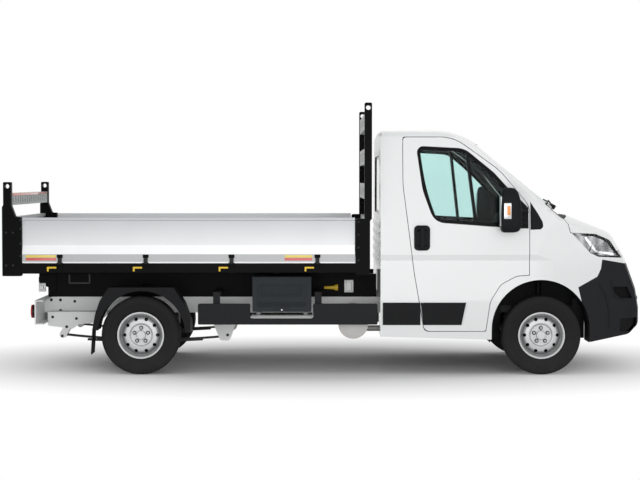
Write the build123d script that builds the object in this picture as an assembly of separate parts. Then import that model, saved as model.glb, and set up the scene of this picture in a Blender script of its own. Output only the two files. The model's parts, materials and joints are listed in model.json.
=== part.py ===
from build123d import *
import math
import os

# Light tipper truck: a three-seat cab on a ladder frame, with a dropside tipping bed.
# Frame: +X is the way the truck drives, +Y its left, +Z up. The origin lies on the ground, under the middle
# of the truck's length and width. All sizes are in millimetres. Right-hand pieces are built first, then mirrored.

# Driving dimensions
WHEELBASE = 3800.0
FRONT_OVERHANG = 1040.0
REAR_OVERHANG = 1293.0
LENGTH = FRONT_OVERHANG + WHEELBASE + REAR_OVERHANG
FRONT_X = LENGTH / 2
REAR_X = -LENGTH / 2
FRONT_AXLE_X = FRONT_X - FRONT_OVERHANG
REAR_AXLE_X = FRONT_AXLE_X - WHEELBASE
FRONT_TRACK = 1810.0
REAR_TRACK = 1790.0
FRONT_WHEEL_Y = -FRONT_TRACK / 2
REAR_WHEEL_Y = -REAR_TRACK / 2
TYRE_R = 372.0
TYRE_W = 225.0
RIM_R = 221.0
STUB_R = 35.0
RUN_GAP = 0.4
SEAT_GAP = 0.3
SHUT_GAP = 6.0

# Chassis
FRAME_TOP_Z = 700.0
FRAME_H = 155.0
FRAME_Y = 400.0
FRAME_W = 80.0
FRAME_REAR_X = REAR_X + 291.5
FRAME_FRONT_X = FRONT_X - 420.0
FRAME_OUT_Y = FRAME_Y + FRAME_W / 2
SUBFRAME_Z = FRAME_TOP_Z + SEAT_GAP
SUBFRAME_TOP_Z = 925.0
PIVOT_X = REAR_X + 276.5
PIVOT_Z = SUBFRAME_TOP_Z - 45.0
PIVOT_PIN_R = 20.0
KINGPIN_Y = FRONT_WHEEL_Y + 60.0
KINGPIN_R = 14.0
SPRING_Y = 560.0
SPRING_W = 70.0

# Cab
CAB_LENGTH = 1527.0
CAB_HALF_WIDTH = 1025.0
CAB_WALL = 50.0
ROOF_Z = 2335.0
SILL_Z = 361.0
CAB_BACK_X = FRONT_AXLE_X - CAB_LENGTH
FLOOR_Z = FRAME_TOP_Z + SEAT_GAP
FLOOR_T = 40.0
ARCH_R = 465.0
ARCH_X = FRONT_AXLE_X - 8.0
ARCH_Z = 436.0
DOOR_FRONT_X = FRONT_AXLE_X - 122.5
DOOR_TOP_Z = 2250.0
DOOR_FOOT_Z = 415.0
ROOF_CUT_Z = DOOR_TOP_Z + 12.0

# Bed
BED_FRONT_X = CAB_BACK_X - 83.0
BED_HALF_WIDTH = 1050.0
DECK_Z = 1045.0
DECK_T = 25.0
RAIL_TOP_Z = 1057.0
RAIL_H = 84.0
RAIL_W = 60.0
POST_T = 70.0
REAR_POST_L = 180.0
FRONT_POST_L = 152.0
SIDE_TOP_Z = 1491.0
SIDE_FOOT_Z = 1064.0
SIDE_REAR_X = REAR_X + REAR_POST_L + 8.0
SIDE_FRONT_X = BED_FRONT_X - FRONT_POST_L - 8.0
SIDE_HINGE_Y = BED_HALF_WIDTH + 10.0
SIDE_HINGE_Z = SIDE_FOOT_Z - 4.0
HINGE_W = 57.0
HINGE_PITCH = 809.0
HINGE_COUNT = 4
POST_TOP_Z = 2572.0
REAR_POST_TOP_Z = 1826.0
POST_EYE_R = 22.0
POST_Y = BED_HALF_WIDTH - POST_T + 5.0

# Tipping ram: the foot and the eye lie at the same distance from the tipping pin
RAM_REACH = 900.0
RAM_FOOT_DEG = -25.0
RAM_EYE_DEG = 5.0
TIP_DEG = 45.0
RAM_R = 75.0
RAM_PIN_R = 24.0


def outline(rows):
    """Closed face of straight runs and arcs, from rows of (u, v, corner radius)."""
    return make_face(FilletPolyline(*[row[:2] for row in rows], radius=[row[2] for row in rows], close=True))


def sharp(*points):
    """Rows with square corners."""
    return [(u, v, 0) for u, v in points]


def side_plane(y):
    return Plane(origin=(0, y, 0), x_dir=(1, 0, 0), z_dir=(0, -1, 0))


def slab_y(rows, y_low, y_high):
    """Side-view (x, z) outline with its faces at y_low and y_high."""
    return extrude(side_plane(y_high) * outline(rows), y_high - y_low)


def slab_x(rows, x_low, x_high):
    """Front-view (y, z) outline with its faces at x_low and x_high."""
    plane = Plane(origin=(x_low, 0, 0), x_dir=(0, 1, 0), z_dir=(1, 0, 0))
    return extrude(plane * outline(rows), x_high - x_low)


def slab_z(rows, z_low, z_high):
    """Plan-view (x, y) outline with its faces at z_low and z_high."""
    return extrude(Plane.XY.offset(z_low) * outline(rows), z_high - z_low)


def block(x0, x1, y0, y1, z0, z1):
    return Pos(x0, y0, z0) * Box(x1 - x0, y1 - y0, z1 - z0, align=(Align.MIN,) * 3)


def rod_y(x, z, radius, y_low, y_high):
    return Pos(x, (y_low + y_high) / 2, z) * Rot(90, 0, 0) * Cylinder(radius, y_high - y_low)


def rod_x(y, z, radius, x_low, x_high):
    return Pos((x_low + x_high) / 2, y, z) * Rot(0, 90, 0) * Cylinder(radius, x_high - x_low)


def rod_z(x, y, radius, z_low, z_high):
    return Pos(x, y, (z_low + z_high) / 2) * Cylinder(radius, z_high - z_low)


def rod_between(start, end, radius):
    run = Vector(*end) - Vector(*start)
    plane = Plane(origin=start, z_dir=run)
    return plane * Cylinder(radius, run.length, align=(Align.CENTER, Align.CENTER, Align.MIN))


def left(shape):
    """The left-hand twin of a right-hand piece."""
    return mirror(shape, about=Plane.XZ)


def group(*shapes):
    return Compound(children=[solid for shape in shapes for solid in shape.solids()])


def pair(shape):
    return group(shape, left(shape))


def fused(*shapes):
    whole = shapes[0]
    for shape in shapes[1:]:
        whole = whole + shape
    return whole


def save(**nodes):
    os.makedirs("parts", exist_ok=True)
    for name, shape in nodes.items():
        export_step(group(shape), f"parts/{name}.step")


# Cab body: a crowned volume, hollowed, then cut where the panels meet.
# Columns: x from the front axle, z, corner radius, and how far back and down the point lies at the cab's side.
CAB_PROFILE = [
    (-CAB_LENGTH, SILL_Z, 0, 0, 0),
    (-CAB_LENGTH, ROOF_Z, 60, 0, 45),
    (-716, ROOF_Z, 700, 90, 45),
    (308, 1515, 260, 150, 60),
    (768, 1335, 150, 150, 60),
    (904, 1090, 200, 150, 0),
    (1010, 800, 150, 150, 0),
    (FRONT_OVERHANG, 620, 60, 150, 0),
    (FRONT_OVERHANG, 470, 60, 150, 0),
    (960, 385, 80, 150, 0),
    (560, 310, 0, 100, 0),
]
# Columns: half width, z, corner radius. The roof line lies above the crowned roof, so that its arc meets it.
CAB_SECTION = [
    (CAB_HALF_WIDTH - 35, 250, 0),
    (CAB_HALF_WIDTH - 13, 700, 300),
    (CAB_HALF_WIDTH - 13, 1085, 20),
    (CAB_HALF_WIDTH, 1140, 20),
    (CAB_HALF_WIDTH - 9, 1380, 300),
    (CAB_HALF_WIDTH - 125, ROOF_Z, 110),
]
ROOF_PEAK_Z = ROOF_Z + 145.0
NOSE_HALF_WIDTH = CAB_HALF_WIDTH - 95.0
NOSE_CORNER_R = 330.0
NOSE_REACH = 60.0


def inset_rows(rows, depth):
    """Rows (u, v, radius) of an outline moved inwards by depth; each corner arc keeps its centre."""
    if depth == 0:
        return rows
    area = sum(a[0] * b[1] - b[0] * a[1] for a, b in zip(rows, rows[1:] + rows[:1]))
    turn = math.copysign(1, area)
    moved = []
    for before, here, after in zip(rows[-1:] + rows[:-1], rows, rows[1:] + rows[:1]):
        a = Vector(here[0] - before[0], here[1] - before[1]).normalized()
        b = Vector(after[0] - here[0], after[1] - here[1]).normalized()
        bend = turn * (a.X * b.Y - a.Y * b.X)
        shift = (Vector(-a.Y, a.X) + Vector(-b.Y, b.X)) * (turn * depth / (1 + a.dot(b)))
        radius = max(here[2] - math.copysign(depth, bend), 1.0) if here[2] else 0
        moved.append((here[0] + shift.X, here[1] + shift.Y, radius))
    return moved


def open_foot(rows, inset):
    """First and last row dropped well below the body, so that an inner volume leaves the bottom open."""
    if inset == 0:
        return rows
    low = [(u, v - 3 * CAB_WALL, r) for u, v, r in (rows[0], rows[-1])]
    return [low[0], *rows[1:-1], low[1]]


def cab_volume(inset):
    """The cab's outer volume, or the same volume with every wall moved in by inset and no bottom."""
    sections = []
    for share in (1, 0, 1):
        rows = [(FRONT_AXLE_X + x - back * share, z - down * share, r) for x, z, r, back, down in CAB_PROFILE]
        sections.append(open_foot(inset_rows(rows, inset), inset))
    stations = (-CAB_HALF_WIDTH - 5, 0, CAB_HALF_WIDTH + 5)
    body = loft([side_plane(y) * outline(rows) for y, rows in zip(stations, sections)])
    front_view = CAB_SECTION + [(0, ROOF_PEAK_Z, 0)] + [(-y, z, r) for y, z, r in reversed(CAB_SECTION)]
    front_view = open_foot(inset_rows(front_view, inset), inset)
    body &= slab_x(front_view, CAB_BACK_X - 10, FRONT_X + 2 * NOSE_REACH)
    wide = CAB_HALF_WIDTH + 4
    plan = [
        (CAB_BACK_X - 100, -wide, 0),
        (FRONT_AXLE_X - 100, -wide, 0),
        (FRONT_X + NOSE_REACH, -NOSE_HALF_WIDTH, NOSE_CORNER_R),
    ]
    plan += [(x, -y, r) for x, y, r in reversed(plan)]
    return body & slab_z(inset_rows(plan, inset), 0, ROOF_PEAK_Z + 100)


def from_axle(rows):
    """Side-view rows given from the front axle."""
    return [(FRONT_AXLE_X + x, z, r) for x, z, r in rows]


DOOR_FRONT = DOOR_FRONT_X - FRONT_AXLE_X
# Columns: x from the front axle, z, corner radius
DOOR_ROWS = from_axle([
    (-1312, DOOR_TOP_Z, 30),
    (-836, DOOR_TOP_Z, 400),
    (-400, 1935, 600),
    (DOOR_FRONT, 1600, 200),
    (DOOR_FRONT, 948, 10),
    (-240, 940, 150),
    (-390, 860, 120),
    (-490, 700, 200),
    (-531, DOOR_FOOT_Z, 20),
    (-1110, DOOR_FOOT_Z, 60),
    (-1207, 975, 900),
    (-1312, 1800, 900),
])
WINDOW_ROWS = from_axle([
    (-1190, 2170, 60),
    (-730, 2145, 200),
    (-450, 1915, 500),
    (DOOR_FRONT - 45, 1600, 60),
    (DOOR_FRONT - 45, 1398, 20),
    (-460, 1403, 600),
    (-1020, 1445, 150),
    (-1130, 1750, 600),
])
WINDOW_BAR_ROWS = from_axle([(-745, 2300, 0), (-715, 2300, 0), (-595, 1300, 0), (-625, 1300, 0)])
LAMP_ROWS = from_axle([
    (275, 1348, 0),
    (510, 1332, 40),
    (643, 1275, 60),
    (712, 1174, 20),
    (1300, 1174, 0),
    (1300, 1108, 0),
    (718, 1110, 0),
    (534, 1118, 60),
    (460, 1155, 60),
])
BUMPER_ROWS = from_axle([
    (346, 830, 0),
    (527, 930, 0),
    (562, 1005, 0),
    (574, 1093, 0),
    (805, 1053, 0),
    (1300, 1040, 0),
    (1300, 100, 0),
    (500, 100, 0),
    (463, 333, 0),
])
AIR_ROWS = from_axle(sharp((677, 834), (816, 834), (867, 724), (753, 724), (696, 771)))
FOG_ROWS = from_axle(sharp((753, 528), (914, 540), (903, 436), (857, 407), (747, 407)))
POCKET_DEPTH = 30.0
GRILLE_HALF = 470.0
GRILLE_SLOTS = [935.0, 990.0, 1045.0, 1100.0]
GRILLE_SLOT_H = 34.0
INTAKE_HALF = 430.0
INTAKE_Z = (430.0, 540.0)
BONNET_FOOT_Z = 1172.0
BONNET_ROWS = from_axle([
    (270, 1350, 0),
    (512, 1334, 40),
    (645, 1277, 60),
    (714, BONNET_FOOT_Z, 20),
    (1300, BONNET_FOOT_Z, 0),
    (1300, 1750, 0),
    (100, 1750, 0),
    (235, 1480, 0),
])
WING_ROWS = from_axle([
    (DOOR_FRONT + 10, 100, 0),
    (DOOR_FRONT + 10, 1400, 0),
    (-6, 1453, 0),
    (165, 1526, 0),
    (300, 1580, 0),
    (1300, 1580, 0),
    (1300, 100, 0),
])
TRIM_ROWS = from_axle([
    (DOOR_FRONT + 10, 1375, 0),
    (-14, 1379, 15),
    (9, 1404, 15),
    (4, 1450, 60),
    (-42, 1531, 200),
    (DOOR_FRONT + 10, 1640, 0),
])
SAIL_ROWS = from_axle(sharp((-262, 1300), (-262, 1800), (DOOR_FRONT, 1800), (DOOR_FRONT, 1300)))
SCREEN_TOP_Z = 2190.0
SCREEN_FOOT_Z = 1560.0
SCREEN_ROWS = [
    (-840, SCREEN_FOOT_Z, 70),
    (-690, SCREEN_TOP_Z, 70),
    (690, SCREEN_TOP_Z, 70),
    (840, SCREEN_FOOT_Z, 70),
]
REAR_WINDOW_ROWS = [(-600, 1520, 80), (-570, 2080, 80), (570, 2080, 80), (600, 1520, 80)]
RIB_OUT = 14.0
RIB_HALF = 800.0
RIB_Z = [1380.0 - 90.0 * step for step in range(5)]
REAR_WALL_ROWS = sharp((-935, 0), (-950, 1380), (-838, ROOF_CUT_Z), (838, ROOF_CUT_Z), (950, 1380), (935, 0))
COWL_R = 3000.0
COWL_X = FRONT_AXLE_X + 343.5
DOOR_IN_Y = -840.0
WIDE = 1400.0


def big_solids(shape, least=2e5):
    return group(*[solid for solid in shape.solids() if solid.volume > least])


def nose_slots(deep):
    """Slots of the grille and the lower air intake, as deep as the bumper's pockets."""
    x0, x1 = FRONT_AXLE_X + 560, FRONT_X + 100
    slots = [block(x0, x1, -GRILLE_HALF, GRILLE_HALF, z, z + GRILLE_SLOT_H) for z in GRILLE_SLOTS]
    return group(*slots, block(x0, x1, -INTAKE_HALF, INTAKE_HALF, *INTAKE_Z)) - deep


def wall_rib(z):
    """One pressed rib across the outside of the rear wall."""
    x = CAB_BACK_X
    rows = sharp((x + 20, z), (x, z), (x - RIB_OUT, z + 15), (x - RIB_OUT, z + 55), (x, z + 70), (x + 20, z + 70))
    return slab_y(rows, -RIB_HALF, RIB_HALF)


def cab_panels():
    """All pieces cut from the hollow cab body and its glass layer."""
    shell = cab_volume(0) - cab_volume(CAB_WALL)
    pane = cab_volume(10) - cab_volume(16)
    deep = cab_volume(POCKET_DEPTH)
    nodes = {}
    shell -= rod_y(ARCH_X, ARCH_Z, ARCH_R, -WIDE, WIDE)
    shell -= block(ARCH_X - ARCH_R, ARCH_X + ARCH_R, -WIDE, WIDE, 0, ARCH_Z)
    door_gap = slab_y(inset_rows(DOOR_ROWS, -SHUT_GAP), -WIDE, DOOR_IN_Y)
    window = slab_y(WINDOW_ROWS, -WIDE, DOOR_IN_Y)
    bar = slab_y(WINDOW_BAR_ROWS, -WIDE, DOOR_IN_Y)
    door = shell & slab_y(DOOR_ROWS, -WIDE, DOOR_IN_Y)
    nodes["door_panel"] = door - window
    nodes["window_bar"] = door & window & bar
    glass = pane & slab_y(inset_rows(WINDOW_ROWS, SEAT_GAP), -WIDE, DOOR_IN_Y)
    nodes["mirror_sail"] = door & window & slab_y(SAIL_ROWS, -WIDE, DOOR_IN_Y)
    for rows in (WINDOW_BAR_ROWS, SAIL_ROWS):
        glass -= slab_y(inset_rows(rows, -SEAT_GAP), -WIDE, DOOR_IN_Y)
    nodes["door_glass"] = glass
    shell = shell - door_gap - left(door_gap)
    screen = slab_x(SCREEN_ROWS, CAB_BACK_X + 500, FRONT_X)
    nodes["windscreen"] = pane & slab_x(inset_rows(SCREEN_ROWS, SEAT_GAP), CAB_BACK_X + 500, FRONT_X)
    shell -= screen
    wall_x = (CAB_BACK_X - 50, CAB_BACK_X + 100)
    nodes["rear_window"] = pane & slab_x(inset_rows(REAR_WINDOW_ROWS, SEAT_GAP), *wall_x)
    shell -= slab_x(REAR_WINDOW_ROWS, *wall_x)
    cowl = rod_z(COWL_X - COWL_R, 0, COWL_R, 0, 3000)
    bonnet_cut = slab_y(inset_rows(BONNET_ROWS, -SHUT_GAP), -WIDE, WIDE) - rod_z(
        COWL_X - COWL_R, 0, COWL_R - SHUT_GAP, 0, 3000)
    nodes["bonnet"] = (shell & slab_y(BONNET_ROWS, -WIDE, WIDE)) - cowl
    slam = shell & block(FRONT_AXLE_X + 600, FRONT_X + 100, -420, 420, 1150, BONNET_FOOT_Z - SEAT_GAP)
    shell -= bonnet_cut
    lamps = slab_y(LAMP_ROWS, -WIDE, WIDE) - block(0, FRONT_X, -520, 520, 0, 3000)
    nodes["headlamps"] = shell & lamps
    shell -= lamps
    bumper = slab_y(BUMPER_ROWS, -WIDE, WIDE)
    bumper += block(FRONT_AXLE_X + 560, FRONT_X + 100, -520, 520, 900, 1200)
    pockets = group(slab_y(AIR_ROWS, -WIDE, WIDE), slab_y(FOG_ROWS, -WIDE, WIDE)) - deep
    pockets -= block(0, FRONT_X + 100, -600, 600, 0, 3000)
    nodes["front_bumper"] = (shell & bumper) + slam - pockets - nose_slots(deep)
    shell -= bumper
    scuttle = slab_x(sharp((-835, 1400), (-835, SCREEN_FOOT_Z), (835, SCREEN_FOOT_Z), (835, 1400)),
                     FRONT_AXLE_X - 60, FRONT_X)
    nodes["scuttle"] = shell & scuttle & deep
    shell -= scuttle
    trims = slab_y(TRIM_ROWS, -WIDE, WIDE)
    nodes["corner_trims"] = shell & trims
    shell -= trims
    wings = slab_y(WING_ROWS, -WIDE, WIDE)
    nodes["front_wings"] = shell & wings
    shell -= wings
    roof = block(0, FRONT_X, -WIDE, WIDE, ROOF_CUT_Z, 3000) + block(
        CAB_BACK_X + 500, FRONT_X, -680, 680, SCREEN_TOP_Z - 5, ROOF_CUT_Z)
    nodes["cab_roof"] = shell & roof
    shell -= roof
    rear = slab_x(REAR_WALL_ROWS, CAB_BACK_X - 50, CAB_BACK_X + CAB_WALL)
    nodes["cab_rear_wall"] = shell & rear
    shell -= rear
    nodes["cab_rear_wall"] -= block(0, CAB_BACK_X + 100, -590, 590, 0, FLOOR_Z)
    nodes["cab_rear_wall"] = fused(nodes["cab_rear_wall"], *[wall_rib(z) for z in RIB_Z])
    nodes["cab_side_right"] = shell & block(0, FRONT_X, -WIDE, 0, 0, 3000)
    return {name: big_solids(shape) for name, shape in nodes.items()}


def turned(rows, y, outward, axle_x):
    """Ring turned about an axle line from rows of (outward distance, radius, corner radius)."""
    plane = Plane(origin=(axle_x, y, TYRE_R), x_dir=(0, outward, 0), z_dir=(-outward, 0, 0))
    face = plane * outline(rows)
    return revolve(face, Axis((axle_x, y, TYRE_R), (0, 1, 0)))


def tyre(axle_x, y):
    half = TYRE_W / 2
    rows = [
        (-half + 20, RIM_R + SEAT_GAP, 0),
        (-half, RIM_R + 45, 60),
        (-half, RIM_R + 95, 50),
        (-half + 16, TYRE_R - 8, 14),
        (-half + 45, TYRE_R, 40),
    ]
    rows += [(-u, v, r) for u, v, r in reversed(rows)]
    return turned(rows, y, -1, axle_x)


RIM_HALF = 90.0
VENT_COUNT = 10
VENT_RING_R = 156.0
VENT_R = 17.0
STUB_OUT = 38.0


def rim(axle_x, y):
    """Pressed steel wheel: a welled ring, a dished disc with vent holes and a hub cap over the stub axle."""
    ring = [
        (-RIM_HALF, RIM_R, 0), (-RIM_HALF + 9, RIM_R, 0), (-RIM_HALF + 14, RIM_R - 14, 0), (-35, RIM_R - 18, 0),
        (-5, RIM_R - 31, 0), (35, RIM_R - 31, 0), (52, RIM_R - 18, 0), (RIM_HALF - 14, RIM_R - 14, 0),
        (RIM_HALF - 9, RIM_R, 0), (RIM_HALF, RIM_R, 0), (RIM_HALF, RIM_R - 9, 0), (RIM_HALF - 8, RIM_R - 22, 0),
        (56, RIM_R - 26, 0), (38, RIM_R - 39, 0), (-8, RIM_R - 39, 0), (-38, RIM_R - 26, 0),
        (-RIM_HALF + 8, RIM_R - 22, 0), (-RIM_HALF, RIM_R - 9, 0),
    ]
    disc = [
        (2, RIM_R - 35, 0), (20, RIM_R - 35, 8), (46, 150, 15), (50, 112, 12), (34, 98, 8), (34, 44, 4),
        (64, 42, 6), (64, 0, 0), (STUB_OUT + 2, 0, 0), (STUB_OUT + 2, STUB_R, 0), (20, STUB_R, 0), (20, 102, 8),
        (36, 116, 8), (34, 148, 12),
    ]
    wheel = turned(ring, y, -1, axle_x) + turned(disc, y, -1, axle_x)
    for index in range(VENT_COUNT):
        angle = 2 * math.pi * index / VENT_COUNT
        x = axle_x + VENT_RING_R * math.cos(angle)
        z = TYRE_R + VENT_RING_R * math.sin(angle)
        wheel -= rod_y(x, z, VENT_R, y - 100, y)
    return wheel


def knuckle():
    """Right upright with its stub axle and brake shield; it turns on the kingpin."""
    y = FRONT_WHEEL_Y
    upright = block(FRONT_AXLE_X - 50, FRONT_AXLE_X + 50, KINGPIN_Y - 24, KINGPIN_Y + 24, 240, 507)
    stub = rod_y(FRONT_AXLE_X, TYRE_R, STUB_R - RUN_GAP, y - STUB_OUT, KINGPIN_Y - 20)
    shield = rod_y(FRONT_AXLE_X, TYRE_R, 135, KINGPIN_Y - 40, KINGPIN_Y - 24)
    bore = rod_z(FRONT_AXLE_X, KINGPIN_Y, KINGPIN_R + RUN_GAP, 200, 560)
    return fused(upright, stub, shield) - bore


def front_suspension():
    """Right upper and lower arms with the kingpin between them, and the coil spring leg on the upper arm."""
    lower = slab_z([
        (FRONT_AXLE_X - 140, -FRAME_OUT_Y + 30, 0), (FRONT_AXLE_X - 34, KINGPIN_Y - 20, 20),
        (FRONT_AXLE_X + 34, KINGPIN_Y - 20, 20), (FRONT_AXLE_X + 140, -FRAME_OUT_Y + 30, 0)], 200, 236)
    upper = slab_z([
        (FRONT_AXLE_X - 60, -FRAME_OUT_Y, 0), (FRONT_AXLE_X - 34, KINGPIN_Y - 20, 20),
        (FRONT_AXLE_X + 34, KINGPIN_Y - 20, 20), (FRONT_AXLE_X + 60, -FRAME_OUT_Y, 0)], 511, 544)
    pin = rod_z(FRONT_AXLE_X, KINGPIN_Y, KINGPIN_R, 210, 540)
    leg = rod_z(FRONT_AXLE_X, -735, 27, 540, ARCH_Z + ARCH_R)
    post = block(FRONT_AXLE_X - 140, FRONT_AXLE_X + 140, -FRAME_OUT_Y, -FRAME_OUT_Y + FRAME_W, 200,
                 FRAME_TOP_Z - FRAME_H)
    return fused(lower, upper, pin, leg, post)


def spring_seat(y):
    """Pad under the axle beam, hollowed to lie on the main leaf."""
    low, high = y - SPRING_W / 2, y + SPRING_W / 2
    pad = block(REAR_AXLE_X - 70, REAR_AXLE_X + 70, low, high, SPRING_MID_Z, TYRE_R)
    main = leaf(SPRING_REAR, (REAR_AXLE_X, SPRING_MID_Z), SPRING_FRONT, LEAF_T + 2 * SEAT_GAP)
    return pad - extrude(side_plane(high + 1) * main, SPRING_W + 2)


def rear_axle():
    """Axle tube, brake drums, stub axles and the pads that rest on the springs."""
    beam = rod_y(REAR_AXLE_X, TYRE_R, 45, REAR_WHEEL_Y + 95, -REAR_WHEEL_Y - 95)
    for side in (-1, 1):
        y = side * -REAR_WHEEL_Y
        low, high = sorted((y - side * 95, y - side * 15))
        beam += rod_y(REAR_AXLE_X, TYRE_R, 140, low, high)
        low, high = sorted((y - side * 20, y + side * STUB_OUT))
        beam += rod_y(REAR_AXLE_X, TYRE_R, STUB_R - RUN_GAP, low, high)
        beam += spring_seat(side * SPRING_Y)
    return beam


SPRING_REAR = (REAR_AXLE_X - 796.5, 345.0)
SPRING_FRONT = (REAR_AXLE_X + 776.5, 325.0)
SPRING_MID_Z = 293.0
SPRING_PIN_R = 12.0
LEAF_T = 16.0


def leaf(start, middle, end, thick):
    """Side-view face between two equal arcs, one thickness apart."""
    top = [(x, z + thick / 2) for x, z in (start, middle, end)]
    low = [(x, z - thick / 2) for x, z in (end, middle, start)]
    return make_face([ThreePointArc(*top), Line(top[2], low[0]), ThreePointArc(*low), Line(low[2], top[0])])


def leaf_spring():
    """Right spring: a main leaf with an eye at each end and two shorter helpers under it."""
    y_low = -SPRING_Y - SPRING_W / 2
    plane = side_plane(y_low + SPRING_W)
    faces = [leaf(SPRING_REAR, (REAR_AXLE_X, SPRING_MID_Z), SPRING_FRONT, LEAF_T)]
    for index, reach in enumerate((560, 320), start=1):
        rise = 34 * (reach / 790) ** 2
        drop = SPRING_MID_Z - LEAF_T * index
        tips = [(REAR_AXLE_X + way * reach, drop + rise) for way in (-1, 1)]
        faces.append(leaf(tips[0], (REAR_AXLE_X, drop), tips[1], LEAF_T + 0.4))
    spring = fused(*[extrude(plane * face, SPRING_W) for face in faces])
    for x, z in (SPRING_REAR, SPRING_FRONT):
        spring += rod_y(x, z, 28, y_low, y_low + SPRING_W)
        spring -= rod_y(x, z, SPRING_PIN_R + SEAT_GAP, y_low - 5, y_low + SPRING_W + 5)
    return spring


SHACKLE_RUN = 48.0
SHACKLE_RISE = 86.0
SHACKLE_R = 34.0
HANGER_BACK = 149.0
HANGER_AHEAD = 430.0
CHEEK_T = 8.0


def rear_cheek(y):
    """Deep side plate under the rail, with the leaning shackle that holds the spring's rear eye."""
    x, z = SPRING_REAR
    top = FRAME_TOP_Z - FRAME_H - z
    rows = [(-HANGER_BACK, top, 0), (HANGER_AHEAD, top, 0), (HANGER_AHEAD - 28, top - 32, 20), (333, 114, 30),
            (157, 100, 30), (90, 55, 20), (-HANGER_BACK, SHACKLE_RISE, 20)]
    plate = slab_y([(x + u, z + v, r) for u, v, r in rows], y, y + CHEEK_T)
    reach = math.hypot(SHACKLE_RUN, SHACKLE_RISE)
    side = (SHACKLE_R * SHACKLE_RISE / reach, -SHACKLE_R * SHACKLE_RUN / reach)
    low, high = (x, z), (x + SHACKLE_RUN, z + SHACKLE_RISE)
    corners = [(end[0] + way * side[0], end[1] + way * side[1])
               for end, way in ((low, 1), (high, 1), (high, -1), (low, -1))]
    link = slab_y(sharp(*corners), y, y + CHEEK_T)
    return fused(plate, link, *[rod_y(*end, SHACKLE_R, y, y + CHEEK_T) for end in (low, high)])


def front_cheek(y):
    """Tapered plate that holds the spring's front eye."""
    x, z = SPRING_FRONT
    low = FRAME_TOP_Z - FRAME_H
    rows = [(x - 150, low, 0), (x - 45, z - 40, 30), (x + 45, z - 40, 30), (x + 140, low, 0)]
    return slab_y(rows, y, y + CHEEK_T)


def chassis_frame():
    """Ladder frame, rear bar, lamp brackets and the spring hangers."""
    frame_low = FRAME_TOP_Z - FRAME_H
    rail = block(FRAME_REAR_X, FRAME_FRONT_X, -FRAME_OUT_Y, -FRAME_OUT_Y + FRAME_W, frame_low, FRAME_TOP_Z)
    rail -= block(FRAME_REAR_X, FRAME_FRONT_X, -FRAME_OUT_Y + 10, -FRAME_OUT_Y + FRAME_W,
                  frame_low + 10, FRAME_TOP_Z - 10)
    inner = FRAME_Y + FRAME_W / 2 - 10
    parts = [rail, left(rail)]
    for x in (-2350, -1450, -700, 100, 900, 1550):
        parts.append(block(x - 40, x + 40, -inner, inner, frame_low + 10, FRAME_TOP_Z - 10))
    bar_x = FRAME_REAR_X - 12
    bar = block(bar_x, bar_x + 12, -930, 930, 470, FRAME_TOP_Z)
    bar += block(bar_x, bar_x + 80, -930, 930, FRAME_TOP_Z - 10, FRAME_TOP_Z)
    bar += block(bar_x, bar_x + 80, -930, 930, 470, 480)
    for y in (-60, 60):
        for z in (560, 620):
            bar -= rod_x(y, z, TOW_HOLE_R, bar_x - 5, bar_x + 20)
    parts.append(bar)
    cheek_out = SPRING_Y + SPRING_W / 2
    for (x, z), cheek, ends in (
        (SPRING_REAR, rear_cheek, (-HANGER_BACK, HANGER_AHEAD)),
        (SPRING_FRONT, front_cheek, (-60, 110)),
    ):
        for y in (-cheek_out - CHEEK_T - SEAT_GAP, -cheek_out + SPRING_W + SEAT_GAP):
            plate = cheek(y)
            parts += [plate, left(plate)]
        pin = rod_y(x, z, SPRING_PIN_R, -cheek_out - CHEEK_T, -cheek_out + SPRING_W + CHEEK_T)
        cap = block(x + ends[0], x + ends[1], -cheek_out - 10, -FRAME_OUT_Y + 5, frame_low - 10, frame_low + 20)
        parts += [pin, left(pin), cap, left(cap)]
    return fused(*parts)


TOW_HOLE_R = 7.0


def tipper_subframe():
    """Two deep rails on the frame, cross members, the ram's cradle, the tipping pin and its cheeks."""
    rear_x = PIVOT_X + 50
    front_x = CAB_BACK_X - 20
    rail = block(rear_x, front_x, -FRAME_OUT_Y, -FRAME_OUT_Y + 60, SUBFRAME_Z, SUBFRAME_TOP_Z)
    parts = [rail, left(rail)]
    inner = FRAME_OUT_Y - 60
    for x in (rear_x + 40, -900, -100, front_x - 40):
        parts.append(block(x - 40, x + 40, -inner, inner, SUBFRAME_Z + 20, SUBFRAME_TOP_Z - 60))
    cheek = slab_y([(PIVOT_X - 40, PIVOT_Z - 45, 30), (PIVOT_X - 40, PIVOT_Z + 35, 30), (rear_x + 80, PIVOT_Z + 35, 0),
                    (rear_x + 80, PIVOT_Z - 120, 0)], -FRAME_OUT_Y - 15, -FRAME_OUT_Y)
    parts += [cheek, left(cheek)]
    parts.append(rod_y(PIVOT_X, PIVOT_Z, PIVOT_PIN_R, -FRAME_OUT_Y - 15, FRAME_OUT_Y + 15))
    foot_x, foot_z = ram_point(RAM_FOOT_DEG)
    for side in (-1, 1):
        low, high = sorted((side * (RAM_R + 12), side * (RAM_R + 30)))
        cheek = slab_y([(foot_x - 50, foot_z - 50, 40), (foot_x - 60, SUBFRAME_Z + 60, 0),
                        (foot_x + 60, SUBFRAME_Z + 60, 0), (foot_x + 50, foot_z - 50, 40)], low, high)
        parts.append(cheek - rod_y(foot_x, foot_z, RAM_PIN_R + RUN_GAP, low - 5, high + 5))
        low, high = sorted((side * (RAM_R + 12), side * inner))
        parts.append(block(foot_x - 60, foot_x + 60, low, high, SUBFRAME_Z + 20, SUBFRAME_Z + 60))
    return fused(*parts)


def ram_point(degrees):
    angle = math.radians(degrees)
    return PIVOT_X + RAM_REACH * math.cos(angle), PIVOT_Z + RAM_REACH * math.sin(angle)


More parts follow.
